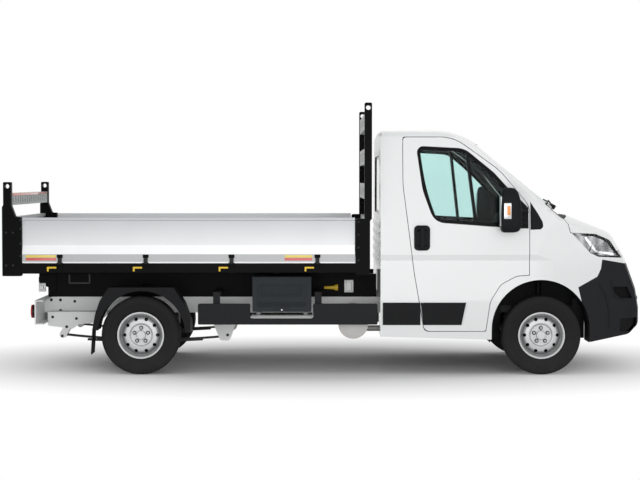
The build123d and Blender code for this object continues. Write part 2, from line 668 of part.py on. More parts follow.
def ram():
    """Barrel, middle stage and last stage of the tipping ram, built upright and leaned onto its line."""
    foot = ram_point(RAM_FOOT_DEG)
    eye = ram_point(RAM_EYE_DEG)
    closed = math.hypot(eye[0] - foot[0], eye[1] - foot[1])
    lean = math.degrees(math.atan2(eye[0] - foot[0], eye[1] - foot[1]))
    place = Pos(foot[0], 0, foot[1]) * Rot(0, lean, 0)
    low = Align.CENTER, Align.CENTER, Align.MIN
    top = closed - 60
    barrel = Pos(0, 0, -40) * Cylinder(RAM_R, top + 40, align=low)
    barrel -= Pos(0, 0, 20) * Cylinder(RAM_R - 12, top, align=low)
    barrel += rod_y(0, 0, RAM_PIN_R, -RAM_R - 28, -RAM_R + 6)
    barrel += rod_y(0, 0, RAM_PIN_R, RAM_R - 6, RAM_R + 28)
    middle_r = RAM_R - 12 - RUN_GAP
    middle = Pos(0, 0, 24) * Cylinder(middle_r, top - 14, align=low)
    middle -= Pos(0, 0, 44) * Cylinder(middle_r - 12, top, align=low)
    last_r = middle_r - 12 - RUN_GAP
    last = Pos(0, 0, 48) * Cylinder(last_r, top - 24, align=low)
    last += Pos(0, 0, top + 18) * Cylinder(last_r - 12, 42, align=low)
    return place * barrel, place * middle, place * last


def exhaust():
    y = -FRAME_OUT_Y - 30
    can = rod_y(CAB_BACK_X - 255, 473, 143, y - 410, y)
    pipe = rod_x(y - 60, 400, 28, CAB_BACK_X - 255, CAB_BACK_X + 700)
    hanger = block(CAB_BACK_X - 290, CAB_BACK_X - 220, y - 60, -FRAME_OUT_Y, 560, 640)
    return fused(can, pipe, hanger)


def engine_block():
    """Plain block on two mounts that rest on the frame rails."""
    x = FRONT_AXLE_X + 100
    engine = block(x, x + 574, -340, 340, 480, 1200)
    return engine + block(x + 200, x + 280, -FRAME_Y, FRAME_Y, FRAME_TOP_Z + SEAT_GAP, FRAME_TOP_Z + 50)


def fuel_tank():
    tank = slab_x([(470, 420, 40), (470, 650, 40), (880, 650, 40), (880, 420, 40)], -840, -150)
    for x in (-740, -330):
        tank += block(x, x + 50, FRAME_OUT_Y, 500, 570, 630)
    return tank


def side_guard():
    """Right guard panel, stepped under the toolbox, on two arms from the subframe."""
    low_z = 476
    panel = slab_y([(-1229, low_z, 15), (-1229, 674, 15), (-734, 674, 15), (-734, 535, 15), (-139, 535, 15),
                    (-139, 674, 15), (473, 674, 15), (473, low_z, 15)], -1000, -960)
    parts = [panel]
    for x in (-1087, -123):
        parts.append(block(x, x + 66, -960, -950, low_z + 40, 782))
        parts.append(block(x, x + 66, -955, -FRAME_OUT_Y, 742, 782))
    return fused(*parts)


def left_guard():
    """Left guard panel, plain from end to end."""
    low_z = 476
    parts = [slab_y([(-1229, low_z, 15), (-1229, 674, 15), (473, 674, 15), (473, low_z, 15)], 960, 1000)]
    for x in (-1087, -123):
        parts.append(block(x, x + 66, 950, 960, low_z + 40, 782))
        parts.append(block(x, x + 66, FRAME_OUT_Y, 955, 742, 782))
    return fused(*parts)


BOX_X0 = -712.0
BOX_X1 = -156.0
BOX_Z0 = 597.0
BOX_Z1 = 930.0
BOX_OUT_Y = -985.0
BOX_IN_Y = -560.0
LID_T = 20.0


def toolbox():
    """Toolbox case open on its outer side, with arms to the subframe, and its lid hung from the top edge."""
    case = block(BOX_X0, BOX_X1, BOX_OUT_Y, BOX_IN_Y, BOX_Z0, BOX_Z1)
    case -= block(BOX_X0 + 12, BOX_X1 - 12, BOX_OUT_Y - 5, BOX_IN_Y - 12, BOX_Z0 + 12, BOX_Z1 - 12)
    for x in (BOX_X0 + 60, BOX_X1 - 120):
        case += block(x, x + 60, BOX_IN_Y, -FRAME_OUT_Y, 840, 900)
    lid = slab_y([(BOX_X0, BOX_Z0 + 5, 12), (BOX_X0, BOX_Z1 - 5, 12), (BOX_X1, BOX_Z1 - 5, 12),
                  (BOX_X1, BOX_Z0 + 5, 12)], BOX_OUT_Y - LID_T - SEAT_GAP, BOX_OUT_Y - SEAT_GAP)
    lid -= slab_y([(BOX_X0 + 45, BOX_Z0 + 50, 20), (BOX_X0 + 45, BOX_Z1 - 75, 20), (BOX_X1 - 45, BOX_Z1 - 75, 20),
                   (BOX_X1 - 45, BOX_Z0 + 50, 20)], BOX_OUT_Y - LID_T - 5, BOX_OUT_Y - LID_T - SEAT_GAP + LID_T / 3)
    return case, lid


GUARD_ARCH_R = 415.0


def mudguard():
    """Right rear mudguard: a flat-topped panel around the tyre, on an arm from the subframe."""
    x = REAR_AXLE_X
    rows = [(x - 454, 425, 0), (x - 424, 582, 60), (x - 382, 703, 60), (x - 298, 829, 30), (x + 318, 829, 30),
            (x + 414, 678, 60), (x + 475, 510, 60), (x + 479, 401, 0)]
    guard = slab_y(rows, -1030, -775)
    guard -= rod_y(x + 12, 382, GUARD_ARCH_R, -1100, -700)
    guard += block(x - 40, x + 40, -780, -FRAME_OUT_Y, 798, 826)
    return guard


def mud_flap():
    x = REAR_AXLE_X - 446
    return slab_y(sharp((x - 22, 195), (x - 8, 424), (x, 424), (x - 14, 195)), -1020, -800)


def rear_lamp():
    """Right lamp: a round lens can on the rear bar."""
    x = FRAME_REAR_X - 12
    return rod_x(-800, 587, 64, x - 49, x)


def body_prop():
    """Prop bar with its tapered yellow grip, stowed on the right subframe rail."""
    y = -FRAME_OUT_Y - 30
    rows = [(-33, 757, 8), (-33, 829, 8), (40, 812, 8), (116, 802, 4), (116, 784, 4), (40, 774, 8)]
    grip = slab_y(rows, y - 25, y + 25)
    return grip + block(-10, 20, y + 20, -FRAME_OUT_Y, 780, 806)


BEAM_Z = (1663.0, 1995.0, 2326.0)
BEAM_H = 150.0
REAR_BEAM_Z = 1607.0
REAR_BEAM_H = 115.0
SLOT_W = 34.0
SLOT_PITCH = 120.0
SLOT_COUNT = 16


def slotted_beam(x0, x1, z0, height):
    beam = block(x0, x1, -POST_Y, POST_Y, z0, z0 + height)
    for index in range(SLOT_COUNT):
        y = (index - (SLOT_COUNT - 1) / 2) * SLOT_PITCH
        beam -= block(x0 - 5, x1 + 5, y - SLOT_W / 2, y + SLOT_W / 2, z0 + height * 0.22, z0 + height * 0.78)
    return beam


def bed_posts():
    """Rear corner posts and front ones with tall headboard uprights; each has an eye near the top."""
    out = -POST_Y - POST_T
    x = REAR_X
    rear = slab_y([
        (x, RAIL_TOP_Z - RAIL_H - 34, 10), (x, 1595, 20), (x + 12, 1605, 20), (x + 12, REAR_POST_TOP_Z, 12),
        (x + 87, REAR_POST_TOP_Z, 12), (x + 87, 1605, 60), (x + 128, 1497, 20), (REAR_X + REAR_POST_L, 1497, 10),
        (REAR_X + REAR_POST_L, RAIL_TOP_Z - RAIL_H - 34, 10)], out, -POST_Y)
    rear -= rod_y(x + 49, REAR_POST_TOP_Z - 40, POST_EYE_R, out - 5, -POST_Y + 5)
    rear -= rod_y(GATE_HINGE_X, GATE_HINGE_Z, GATE_PIN_R + RUN_GAP, -POST_Y - 25, -POST_Y + 5)
    x = BED_FRONT_X - FRONT_POST_L
    front = slab_y([
        (x, RAIL_TOP_Z - RAIL_H - 23, 10), (x, 1481, 20), (x + 82, 1481, 0), (x + 82, POST_TOP_Z, 14),
        (BED_FRONT_X, POST_TOP_Z, 14), (BED_FRONT_X, 1481, 0), (BED_FRONT_X - 17, 1460, 0),
        (BED_FRONT_X - 17, RAIL_TOP_Z - RAIL_H - 23, 10)], out, -POST_Y)
    front -= rod_y(BED_FRONT_X - 35, POST_TOP_Z - 47, POST_EYE_R, out - 5, -POST_Y + 5)
    return pair(group(rear, front))


GATE_HINGE_X = REAR_X + 36.0
GATE_HINGE_Z = SIDE_TOP_Z - 16.0
GATE_PIN_R = 12.0
GATE_T = 35.0


def tailgate():
    """Rear gate hung from two pins at its top corners."""
    y = POST_Y - 6
    gate = block(REAR_X + 6, REAR_X + 6 + GATE_T, -y, y, SIDE_FOOT_Z, SIDE_TOP_Z)
    gate -= block(REAR_X, REAR_X + 16, -y + 60, y - 60, SIDE_FOOT_Z + 70, SIDE_FOOT_Z + 190)
    gate -= block(REAR_X, REAR_X + 16, -y + 60, y - 60, SIDE_FOOT_Z + 240, SIDE_FOOT_Z + 360)
    gate += block(GATE_HINGE_X - 22, GATE_HINGE_X + 22, -y, y, GATE_HINGE_Z - 16, SIDE_TOP_Z)
    gate += rod_y(GATE_HINGE_X, GATE_HINGE_Z, GATE_PIN_R, -POST_Y - 20, POST_Y + 20)
    return gate


def hinge_places():
    middle = (SIDE_REAR_X + SIDE_FRONT_X) / 2
    return [middle + (index - (HINGE_COUNT - 1) / 2) * HINGE_PITCH for index in range(HINGE_COUNT)]


def dropside():
    """Right side panel with a step in its outer face and a hinge strap at each bearing."""
    out = -BED_HALF_WIDTH
    rows = [(out, SIDE_FOOT_Z, 0), (out, 1146, 0), (out + 20, 1231, 0), (out + 20, SIDE_TOP_Z - 30, 0),
            (out + 12, SIDE_TOP_Z - 22, 0), (out + 12, SIDE_TOP_Z, 6), (out + 45, SIDE_TOP_Z, 6),
            (out + 45, SIDE_FOOT_Z, 0)]
    side = slab_x(rows, SIDE_REAR_X, SIDE_FRONT_X)
    for x in hinge_places():
        strap = block(x - HINGE_W / 2 + 9, x + HINGE_W / 2 - 9, out - 8, out, SIDE_HINGE_Z, 1135)
        strap += rod_x(-SIDE_HINGE_Y, SIDE_HINGE_Z, 9, x - HINGE_W / 2 + 9, x + HINGE_W / 2 - 9)
        strap -= rod_x(-SIDE_HINGE_Y, SIDE_HINGE_Z, 5 + RUN_GAP, x - HINGE_W, x + HINGE_W)
        side += strap
    return side


def side_bearings():
    """Right hinge bearings on the bed rail: two ears and a pin at each strap."""
    out = -BED_HALF_WIDTH
    parts = []
    for x in hinge_places():
        for low in (x - HINGE_W / 2, x + HINGE_W / 2 - 8):
            parts.append(block(low, low + 8, out - 18, out, 1016, SIDE_HINGE_Z - 8))
            parts.append(block(low, low + 8, out - 18, out, SIDE_HINGE_Z - 10, RAIL_TOP_Z))
            parts.append(rod_x(-SIDE_HINGE_Y, SIDE_HINGE_Z, 8, low, low + 8))
        parts.append(rod_x(-SIDE_HINGE_Y, SIDE_HINGE_Z, 5, x - HINGE_W / 2, x + HINGE_W / 2))
    return parts


def rope_hook(x):
    """Right L-shaped hook on the bed rail."""
    out = -BED_HALF_WIDTH
    rows = [(x - 120, 985, 4), (x - 120, 1028, 4), (x - 32, 1028, 4), (x - 32, 1012, 4), (x - 104, 1012, 4),
            (x - 104, 985, 4)]
    return slab_y(rows, out - 12, out)


def bed_frame():
    """Runners, cross bearers, side rails, rear sill, tipping eyes and the ram's fork."""
    rail_low = RAIL_TOP_Z - RAIL_H
    runner_low = SUBFRAME_TOP_Z + SEAT_GAP
    bearer_low = 960
    deck_low = DECK_Z - DECK_T
    rear = REAR_X + 6
    front = BED_FRONT_X - 20
    runner = block(rear, front, -430, -370, runner_low, bearer_low + 20)
    rail = block(REAR_X + REAR_POST_L, BED_FRONT_X - FRONT_POST_L, -BED_HALF_WIDTH, -BED_HALF_WIDTH + RAIL_W, rail_low,
                 RAIL_TOP_Z)
    eye = slab_y([(PIVOT_X - 40, runner_low + 10, 0), (PIVOT_X - 40, PIVOT_Z - 40, 38), (PIVOT_X + 40, PIVOT_Z - 40, 38),
                  (PIVOT_X + 40, runner_low + 10, 0)], -430, -380)
    eye -= rod_y(PIVOT_X, PIVOT_Z, PIVOT_PIN_R + RUN_GAP, -500, -300)
    parts = [runner, left(runner), rail, left(rail), eye, left(eye), *side_bearings(),
             *[left(part) for part in side_bearings()]]
    count = 9
    for index in range(count):
        x = rear + 25 + (front - rear - 50) * index / (count - 1)
        parts.append(block(x - 25, x + 25, -POST_Y, POST_Y, bearer_low, deck_low))
    inner = BED_HALF_WIDTH - RAIL_W
    for index in range(1, count - 1):
        x = rear + 25 + (front - rear - 50) * index / (count - 1)
        parts.append(block(x - 25, x + 25, -inner - 10, inner + 10, rail_low, deck_low))
    eye_x, eye_z = ram_point(RAM_EYE_DEG)
    for side in (-1, 1):
        low, high = sorted((side * 62, side * 80))
        parts.append(block(eye_x - 60, eye_x + 60, low, high, eye_z - 30, deck_low))
    parts.append(block(eye_x - 60, eye_x + 60, -430, 430, deck_low - 20, deck_low))
    return fused(*parts)


def bed_deck():
    inner = BED_HALF_WIDTH - RAIL_W
    return block(REAR_X + 6, BED_FRONT_X - 20, -POST_Y, POST_Y, DECK_Z - DECK_T, DECK_Z) + block(
        REAR_X + REAR_POST_L + 1, BED_FRONT_X - FRONT_POST_L - 1, -inner, inner, DECK_Z - DECK_T, DECK_Z)


def headboard():
    panel = block(BED_FRONT_X - 55, BED_FRONT_X - 22, -POST_Y, POST_Y, DECK_Z, 1481)
    for z in (1130, 1220, 1310, 1400):
        panel -= block(BED_FRONT_X - 60, BED_FRONT_X - 47, -POST_Y + 20, POST_Y - 20, z, z + 30)
    return panel


def rack_beams():
    beams = [slotted_beam(BED_FRONT_X - 64, BED_FRONT_X - 6, z, BEAM_H) for z in BEAM_Z]
    return group(slotted_beam(REAR_X + 21, REAR_X + 80, REAR_BEAM_Z, REAR_BEAM_H), *beams)


def cab_floor():
    """Stepped floor, side skirts down to the sills and the front bulkhead."""
    back = CAB_BACK_X + CAB_WALL
    toe = FRONT_AXLE_X - 146.5
    sill_front = ARCH_X - ARCH_R - 30
    half = CAB_HALF_WIDTH - 70
    rows = sharp((back, -half), (sill_front, -half), (sill_front, -470), (toe, -470), (toe, 470), (sill_front, 470),
                 (sill_front, half), (back, half))
    floor = slab_z(rows, FLOOR_Z, FLOOR_Z + FLOOR_T)
    skirt = block(back, sill_front, -half + 5, -half + 35, SILL_Z + 10, FLOOR_Z + 10)
    step = block(back, sill_front, CAB_HALF_WIDTH * -1 + 80, -700, SILL_Z + 10, SILL_Z + 30)
    bulkhead = block(toe, toe + 25, -470, 470, FLOOR_Z, 1102 - SEAT_GAP)
    heel = block(sill_front, sill_front + 20, -half, half, FLOOR_Z, FLOOR_Z + 160)
    heel -= block(sill_front - 5, sill_front + 30, -470, 470, FLOOR_Z + FLOOR_T, 1000)
    return fused(floor, skirt, left(skirt), step, left(step), bulkhead, heel)


LINER_R = ARCH_R + 5.0


LINER_IN_Y = -640.0
LINER_FOOT_Z = 300.0


def arch_liner():
    """Right wheelhouse: a half tube over the tyre, curtains before and behind it, an inner wall above the arms."""
    y_out = -CAB_HALF_WIDTH + 102
    tube = rod_y(ARCH_X, ARCH_Z, LINER_R + 6, y_out, -480) - rod_y(ARCH_X, ARCH_Z, LINER_R, y_out - 5, -486)
    over = block(ARCH_X - 600, ARCH_X + 600, y_out - 5, -400, 620, 1200)
    over += block(ARCH_X - 600, ARCH_X + 600, y_out - 5, LINER_IN_Y, ARCH_Z, 620)
    tube &= over
    for x in (ARCH_X - LINER_R - 6, ARCH_X + LINER_R):
        tube += block(x, x + 6, y_out, LINER_IN_Y, LINER_FOOT_Z, ARCH_Z)
    return tube + block(ARCH_X - 200, ARCH_X - 140, -483, -FRAME_OUT_Y, 630, 690)


def dashboard():
    x = FRONT_AXLE_X
    rows = [(x - 330, 1010, 40), (x - 370, 1200, 40), (x - 300, 1335, 60), (x - 70, 1405, 80), (x + 90, 1425, 20),
            (x + 90, 1102, 0), (x - 150, 1102, 0), (x - 150, 1010, 0)]
    column = wheel_place() * Cylinder(COLUMN_R + SEAT_GAP, 2 * COLUMN_L + 2)
    return slab_y(rows, -875, 875) - column


def seat(y_low, y_high, heads):
    """Cushion on a plinth, a raked back and head rests."""
    x = CAB_BACK_X
    floor = FLOOR_Z + FLOOR_T + SEAT_GAP
    parts = [
        block(x + 330, x + 800, y_low + 40, y_high - 40, floor, floor + 190),
        slab_y([(x + 260, floor + 180, 30), (x + 300, floor + 330, 40), (x + 850, floor + 360, 50),
                (x + 850, floor + 200, 40)], y_low, y_high),
        slab_y([(x + 230, floor + 300, 40), (x + 90, floor + 930, 50), (x + 200, floor + 950, 50),
                (x + 400, floor + 320, 40)], y_low, y_high),
    ]
    for y in heads:
        parts.append(slab_y([(x + 95, floor + 935, 0), (x + 70, floor + 1110, 40), (x + 170, floor + 1125, 40),
                             (x + 185, floor + 935, 0)], y - 120, y + 120))
    return fused(*parts)


def seats():
    return group(seat(-830, -310, [-570]), seat(-230, 830, [40, 560]))


WHEEL_Y = -570.0
COLUMN_R = 30.0
COLUMN_L = 230.0


def wheel_place():
    return Pos(FRONT_AXLE_X - 470, WHEEL_Y, 1330) * Rot(0, 118, 0)


def steering_wheel():
    """Rim, two crossing spokes, hub and the column that runs down into the dashboard."""
    wheel = Torus(200, 17) + Cylinder(60, 40) + Box(400, 40, 18) + Box(40, 400, 18)
    return wheel_place() * (wheel + Pos(0, 0, COLUMN_L / 2) * Cylinder(COLUMN_R, COLUMN_L))


HANDLE_X = FRONT_AXLE_X - 1136.0
HANDLE_Z = 1298.0
MOULD_Z0 = 472.0
MOULD_Z1 = 686.0


def wall_y(z):
    """Outer face of the cab's lower side at height z."""
    return -(CAB_HALF_WIDTH - 35 + 22 * (z - 250) / 450)


def moulding(x0, x1):
    low, high = wall_y(MOULD_Z0), wall_y(MOULD_Z1)
    rows = sharp((low - SEAT_GAP, MOULD_Z0), (high - SEAT_GAP, MOULD_Z1), (high - 13, MOULD_Z1 - 8),
                 (low - 13, MOULD_Z0 + 8))
    return slab_x(rows, x0, x1)


def handle_rows(back, ahead, half, corner):
    """Upright rounded outline about the door handle's middle."""
    rows = [(-back, -half), (-back, half), (ahead, half), (ahead, -half)]
    return [(HANDLE_X + x, HANDLE_Z + z, corner) for x, z in rows]


def door_fittings(window_bar, sail, panel):
    """Right handle plate with its grip, the mirror on its sail, the door's moulding and the window bar."""
    face = -CAB_HALF_WIDTH
    plate = slab_y(handle_rows(75, 75, 119, 40), face - 6, face + 8)
    plate -= slab_y(handle_rows(50, 50, 85, 30), face - 20, face + 2)
    plate += slab_y(handle_rows(15, 18, 105, 14), face - 22, face - 5)
    x = DOOR_FRONT_X
    outer = [(face - 55, 1358, 40), (face - 40, 1760, 50), (face - 215, 1770, 60), (face - 220, 1362, 50)]
    housing = slab_x(outer, x - 290, x - 90)
    housing = fillet(housing.faces().sort_by(Axis.X)[-1].edges(), 30)
    inner = [(face - 67, 1372, 30), (face - 54, 1746, 38), (face - 203, 1756, 46), (face - 208, 1376, 38)]
    housing -= slab_x(inner, x - 300, x - 270)
    for z in (1440, 1540):
        housing += rod_between((x - 130, face - 90, z + 20), (x - 16, face + 30, z), 15)
    strip = moulding(FRONT_AXLE_X - 1118, FRONT_AXLE_X - 720)
    return group(plate - panel, (housing - panel) + sail, strip, window_bar)


def main():
    cab = cab_panels()
    posts = bed_posts()
    case, lid = toolbox()
    barrel, middle, last = ram()
    quarter = moulding(CAB_BACK_X + 22, FRONT_AXLE_X - 1150)
    panel = cab.pop("door_panel")
    fittings = door_fittings(cab.pop("window_bar"), cab.pop("mirror_sail"), panel)
    glass = cab.pop("door_glass")
    trims = cab.pop("corner_trims")
    nodes = {
        "chassis_frame": chassis_frame(),
        "tipper_subframe": tipper_subframe(),
        "rear_axle": rear_axle(),
        "leaf_springs": pair(leaf_spring()),
        "front_suspension": pair(front_suspension()),
        "engine_block": engine_block(),
        "exhaust": exhaust(),
        "fuel_tank": fuel_tank(),
        "side_guards": group(side_guard(), left_guard()),
        "mudguards": pair(mudguard()),
        "mud_flaps": pair(mud_flap()),
        "rear_lamps": pair(rear_lamp()),
        "body_prop": body_prop(),
        "toolbox_case": case,
        "toolbox_lid": lid,
        "cab_floor": cab_floor(),
        "cab_side_left": left(cab["cab_side_right"]),
        "cab_trims": group(trims, pair(quarter)),
        "arch_liners": pair(arch_liner()),
        "dashboard": dashboard(),
        "seats": seats(),
        "steering_wheel": steering_wheel(),
        "door_right_panel": panel,
        "door_right_glass": glass,
        "door_right_fittings": fittings,
        "door_left_panel": left(panel),
        "door_left_glass": left(glass),
        "door_left_fittings": left(fittings),
        "knuckle_right": knuckle(),
        "knuckle_left": left(knuckle()),
        "bed_frame": bed_frame(),
        "bed_deck": bed_deck(),
        "bed_posts": posts,
        "headboard": headboard(),
        "rack_beams": rack_beams(),
        "rope_hooks": pair(group(*[rope_hook(x) for x in hinge_places()])),
        "dropside_right": dropside(),
        "dropside_left": left(dropside()),
        "tailgate": tailgate(),
        "ram_barrel": barrel,
        "ram_middle": middle,
        "ram_last": last,
    }
    for place, axle_x, y in (("front", FRONT_AXLE_X, FRONT_WHEEL_Y), ("rear", REAR_AXLE_X, REAR_WHEEL_Y)):
        nodes[f"tyre_{place}_right"] = tyre(axle_x, y)
        nodes[f"tyre_{place}_left"] = left(tyre(axle_x, y))
        nodes[f"rim_{place}_right"] = rim(axle_x, y)
        nodes[f"rim_{place}_left"] = left(rim(axle_x, y))
    save(**cab, **nodes)


main()
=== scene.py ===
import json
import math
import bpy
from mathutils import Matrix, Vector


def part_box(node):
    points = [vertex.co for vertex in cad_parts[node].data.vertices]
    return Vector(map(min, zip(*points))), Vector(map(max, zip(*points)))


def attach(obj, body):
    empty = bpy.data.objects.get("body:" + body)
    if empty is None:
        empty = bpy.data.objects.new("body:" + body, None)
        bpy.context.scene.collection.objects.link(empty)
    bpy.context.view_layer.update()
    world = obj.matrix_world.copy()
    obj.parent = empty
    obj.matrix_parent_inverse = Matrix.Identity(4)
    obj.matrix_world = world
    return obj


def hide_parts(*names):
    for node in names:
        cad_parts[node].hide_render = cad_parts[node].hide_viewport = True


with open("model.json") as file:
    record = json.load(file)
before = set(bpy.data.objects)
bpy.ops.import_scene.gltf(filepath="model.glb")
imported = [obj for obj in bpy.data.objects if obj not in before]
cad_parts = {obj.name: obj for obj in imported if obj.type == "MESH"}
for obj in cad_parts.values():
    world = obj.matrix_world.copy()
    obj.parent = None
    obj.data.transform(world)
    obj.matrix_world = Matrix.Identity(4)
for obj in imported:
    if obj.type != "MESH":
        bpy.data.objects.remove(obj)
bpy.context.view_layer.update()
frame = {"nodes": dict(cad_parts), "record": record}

# %% [markdown]
# # A light tipper truck
# The solids of the truck are loaded above as a fixed frame, in metres: X points to the front, Y to the left and Z up.
# This lesson gives them their finishes and adds the small pieces that a solid leaves plain, such as tread, lamp
# housings, window borders and cushions. Each piece rides on the body that carries it, so doors, wheels and bed
# still move.

nodes = frame["nodes"]
bpy.ops.object.select_all(action="DESELECT")

# %% [markdown]
# ## Camera
# The picture was taken from far to the right with a long lens, so the side is almost flat and the wheels stay round.
# A camera could be aimed by a constraint. Here it is turned by plain angles: level, square to the side, and pitched
# down by two degrees, because the far edge of the bed floor is hidden and the ground rises a little behind the tyres.

# %% The camera square to the right side
CAMERA_PLACE = (-0.0727, -16.0, 1.845)
CAMERA_TURN = (math.radians(87.837), 0, 0)
LENS = 89.35
bpy.ops.object.camera_add(location=CAMERA_PLACE, rotation=CAMERA_TURN)
camera = bpy.context.object
camera.name = "side_camera"
camera.data.sensor_width = 36
camera.data.lens = LENS
camera.data.clip_end = 200
bpy.context.scene.camera = camera
print("camera stands", round(-camera.location.y, 2), "m to the right")

# %% [markdown]
# ## Sums on sockets
# A finish is a small graph of nodes. Wiring each node by hand is long to read, so one class wraps an output socket:
# adding or multiplying two of them adds a Math node, and every other node comes from one method.

# %% A socket that does sums
class Wire:
    """One output of a node, used like a number."""

    def __init__(self, tree, socket):
        self.tree = tree
        self.socket = socket

    def node(self, kind, settings, sockets, output=0):
        made = self.tree.nodes.new("ShaderNode" + kind)
        for name, value in settings.items():
            if name == "stops":
                for stop, (place, shade) in zip(made.color_ramp.elements, value):
                    stop.position = place
                    stop.color = (shade, shade, shade, 1)
            else:
                setattr(made, name, value)
        for name, value in sockets.items():
            if isinstance(value, Wire):
                self.tree.links.new(value.socket, made.inputs[name])
            else:
                made.inputs[name].default_value = value
        return Wire(self.tree, made.outputs[output])

    def sum(self, operation, first, second, clamp=False):
        return self.node("Math", {"operation": operation, "use_clamp": clamp}, {0: first, 1: second})

    def __add__(self, other):
        return self.sum("ADD", self, other)

    def __radd__(self, other):
        return self.sum("ADD", other, self)

    def __sub__(self, other):
        return self.sum("SUBTRACT", self, other)

    def __rsub__(self, other):
        return self.sum("SUBTRACT", other, self)

    def __mul__(self, other):
        return self.sum("MULTIPLY", self, other)

    def __rmul__(self, other):
        return self.sum("MULTIPLY", other, self)

    def __truediv__(self, other):
        return self.sum("DIVIDE", self, other)

    def __gt__(self, other):
        return self.sum("GREATER_THAN", self, other)

    def __lt__(self, other):
        return self.sum("LESS_THAN", self, other)

    def held(self):
        """The same value, kept between 0 and 1."""
        return self.sum("ADD", self, 0.0, clamp=True)


print("one class wraps every socket")

# %% [markdown]
# ## Patterns
# Every finish starts from Object coordinates, which are metres on the truck, so a grain keeps its true size. A few
# short helpers give what most finishes share: soft mottling, fine grain, one axis of the place, and a mix of colours.

# %% Patterns in metres
def start(name, **constants):
    """A material, its shader and the place on the truck."""
    material = bpy.data.materials.new(name)
    material.use_nodes = True
    tree = material.node_tree
    shader = tree.nodes["Principled BSDF"]
    for socket, value in constants.items():
        shader.inputs[socket.replace("_", " ")].default_value = value
    place = Wire(tree, tree.nodes.new("ShaderNodeTexCoord").outputs["Object"])
    return material, shader, place


def noise(place, scale, detail=3.0, roughness=0.6):
    return place.node("TexNoise", {}, {"Vector": place, "Scale": scale, "Detail": detail, "Roughness": roughness})


def stretched(place, scales):
    return place.node("Mapping", {}, {"Vector": place, "Scale": scales})


def axis(place, index):
    return place.node("SeparateXYZ", {}, {0: place}, index)


def tint(factor, first, second):
    first = first if isinstance(first, Wire) else (*first, 1)
    second = second if isinstance(second, Wire) else (*second, 1)
    return factor.node("Mix", {"data_type": "RGBA"}, {0: factor, 6: first, 7: second}, 2)


def feed(shader, name, wire):
    wire.tree.links.new(wire.socket, shader.inputs[name])


def bumped(shader, height, strength, depth):
    feed(shader, "Normal", height.node("Bump", {}, {"Strength": strength, "Distance": depth, "Height": height}))


def finished(material, shader, base, roughness, height=None, strength=0.0, depth=0.001):
    """Feeds colour, roughness and relief to the shader, and gives back the material."""
    feed(shader, "Base Color", base)
    feed(shader, "Roughness", roughness)
    if height:
        bumped(shader, height, strength, depth)
    return material


def road_dust(place, top, amount):
    """More dust near the road, broken up by soft patches."""
    low = ((top - axis(place, 2)) / top).held()
    return (low * noise(place, 9, 5) * amount).held()


def inside_of(across, up, corners, softness):
    """Distance in from the nearest edge of a convex outline, with rounded corners."""
    nearest = None
    for (x0, z0), (x1, z1) in zip(corners, corners[1:] + corners[:1]):
        length = math.hypot(x1 - x0, z1 - z0)
        depth = (across - x0) * ((z1 - z0) / length) - (up - z0) * ((x1 - x0) / length)
        if nearest is None:
            nearest = depth
        else:
            nearest = depth.node("Math", {"operation": "SMOOTH_MIN"}, {0: nearest, 1: depth, 2: softness})
    return nearest


def size_of(value):
    return value.node("Math", {"operation": "ABSOLUTE"}, {0: value})


def facing(place):
    """The way a face looks."""
    return Wire(place.tree, place.socket.node.outputs["Normal"])


def waves(place, direction, scale, distortion=0.0):
    return place.node("TexWave", {"bands_direction": direction},
                      {"Vector": place, "Scale": scale, "Distortion": distortion})


def scaled(colour, share, lift=0.0):
    return tuple(channel * share + lift for channel in colour)


DUST = (0.36, 0.34, 0.31)
# near black: painted deep shade in the bumper's hollows, and the black print along window edges
SHADE_AND_PRINT_BLACK = (0.0005, 0.0005, 0.0006)
print("dust is", DUST)

# %% [markdown]
# ## Painted steel
# The cab is glossy white, the chassis and wheels are sprayed in plainer paint, and posts and rails are satin black.
# One function serves them all: a base colour with faint mottling, a clear coat for the cab, the fine waviness of
# sprayed paint as a bump, and dust that thickens towards the road.

# %% Paint
ROOF_LINING_Z = 1.95
REAR_WALL_X = 0.62
SPRAY_GRAIN = 420
TRIM_COLOUR = (0.014, 0.015, 0.016)
# near black, painted as the shade under the cab
SHADE_UNDER_CAB = (0.006, 0.006, 0.006)


def cab_inside(place):
    """1 on faces that look into the cab, which are lined in dark trim."""
    look = facing(place)
    across = axis(look, 1) * axis(place, 1)
    lining = (axis(look, 2) < -0.55) * (axis(place, 2) > ROOF_LINING_Z)
    wall = (axis(look, 0) > 0.6) * (axis(place, 0) < REAR_WALL_X)
    return ((across < -0.12) + lining + wall).held()


def painted(name, colour, rough, peel, dust, coat=0.0, mottle=0.06, gloss=0.5, lined=False, ahead=None):
    """Sprayed paint, with dark trim inside the cab if it is lined, and painted shade in near black ahead of a place in
    X if one is given.
    """
    material, shader, place = start(name, Coat_Weight=coat, Coat_Roughness=0.06, Specular_IOR_Level=gloss)
    patches = noise(place, 2.4, 4)
    base = tint(patches * 0.9, colour, scaled(colour, 1 - mottle * 2))
    dirt = road_dust(place, 1.3, dust)
    base = tint(dirt, base, DUST)
    roughness = (rough + patches * 0.06 + dirt * 0.4).held()
    # painted shade: ahead of this X the frame lies under the cab and is painted near black
    if ahead:
        base = tint(axis(place, 0) > ahead, base, SHADE_UNDER_CAB)
    if lined:
        inside = cab_inside(place)
        base = tint(inside, base, TRIM_COLOUR)
        roughness = (roughness + inside * 0.5).held()
        feed(shader, "Coat Weight", (1 - inside) * coat)
    return finished(material, shader, base, roughness, noise(place, SPRAY_GRAIN, 2), peel, 0.0004)


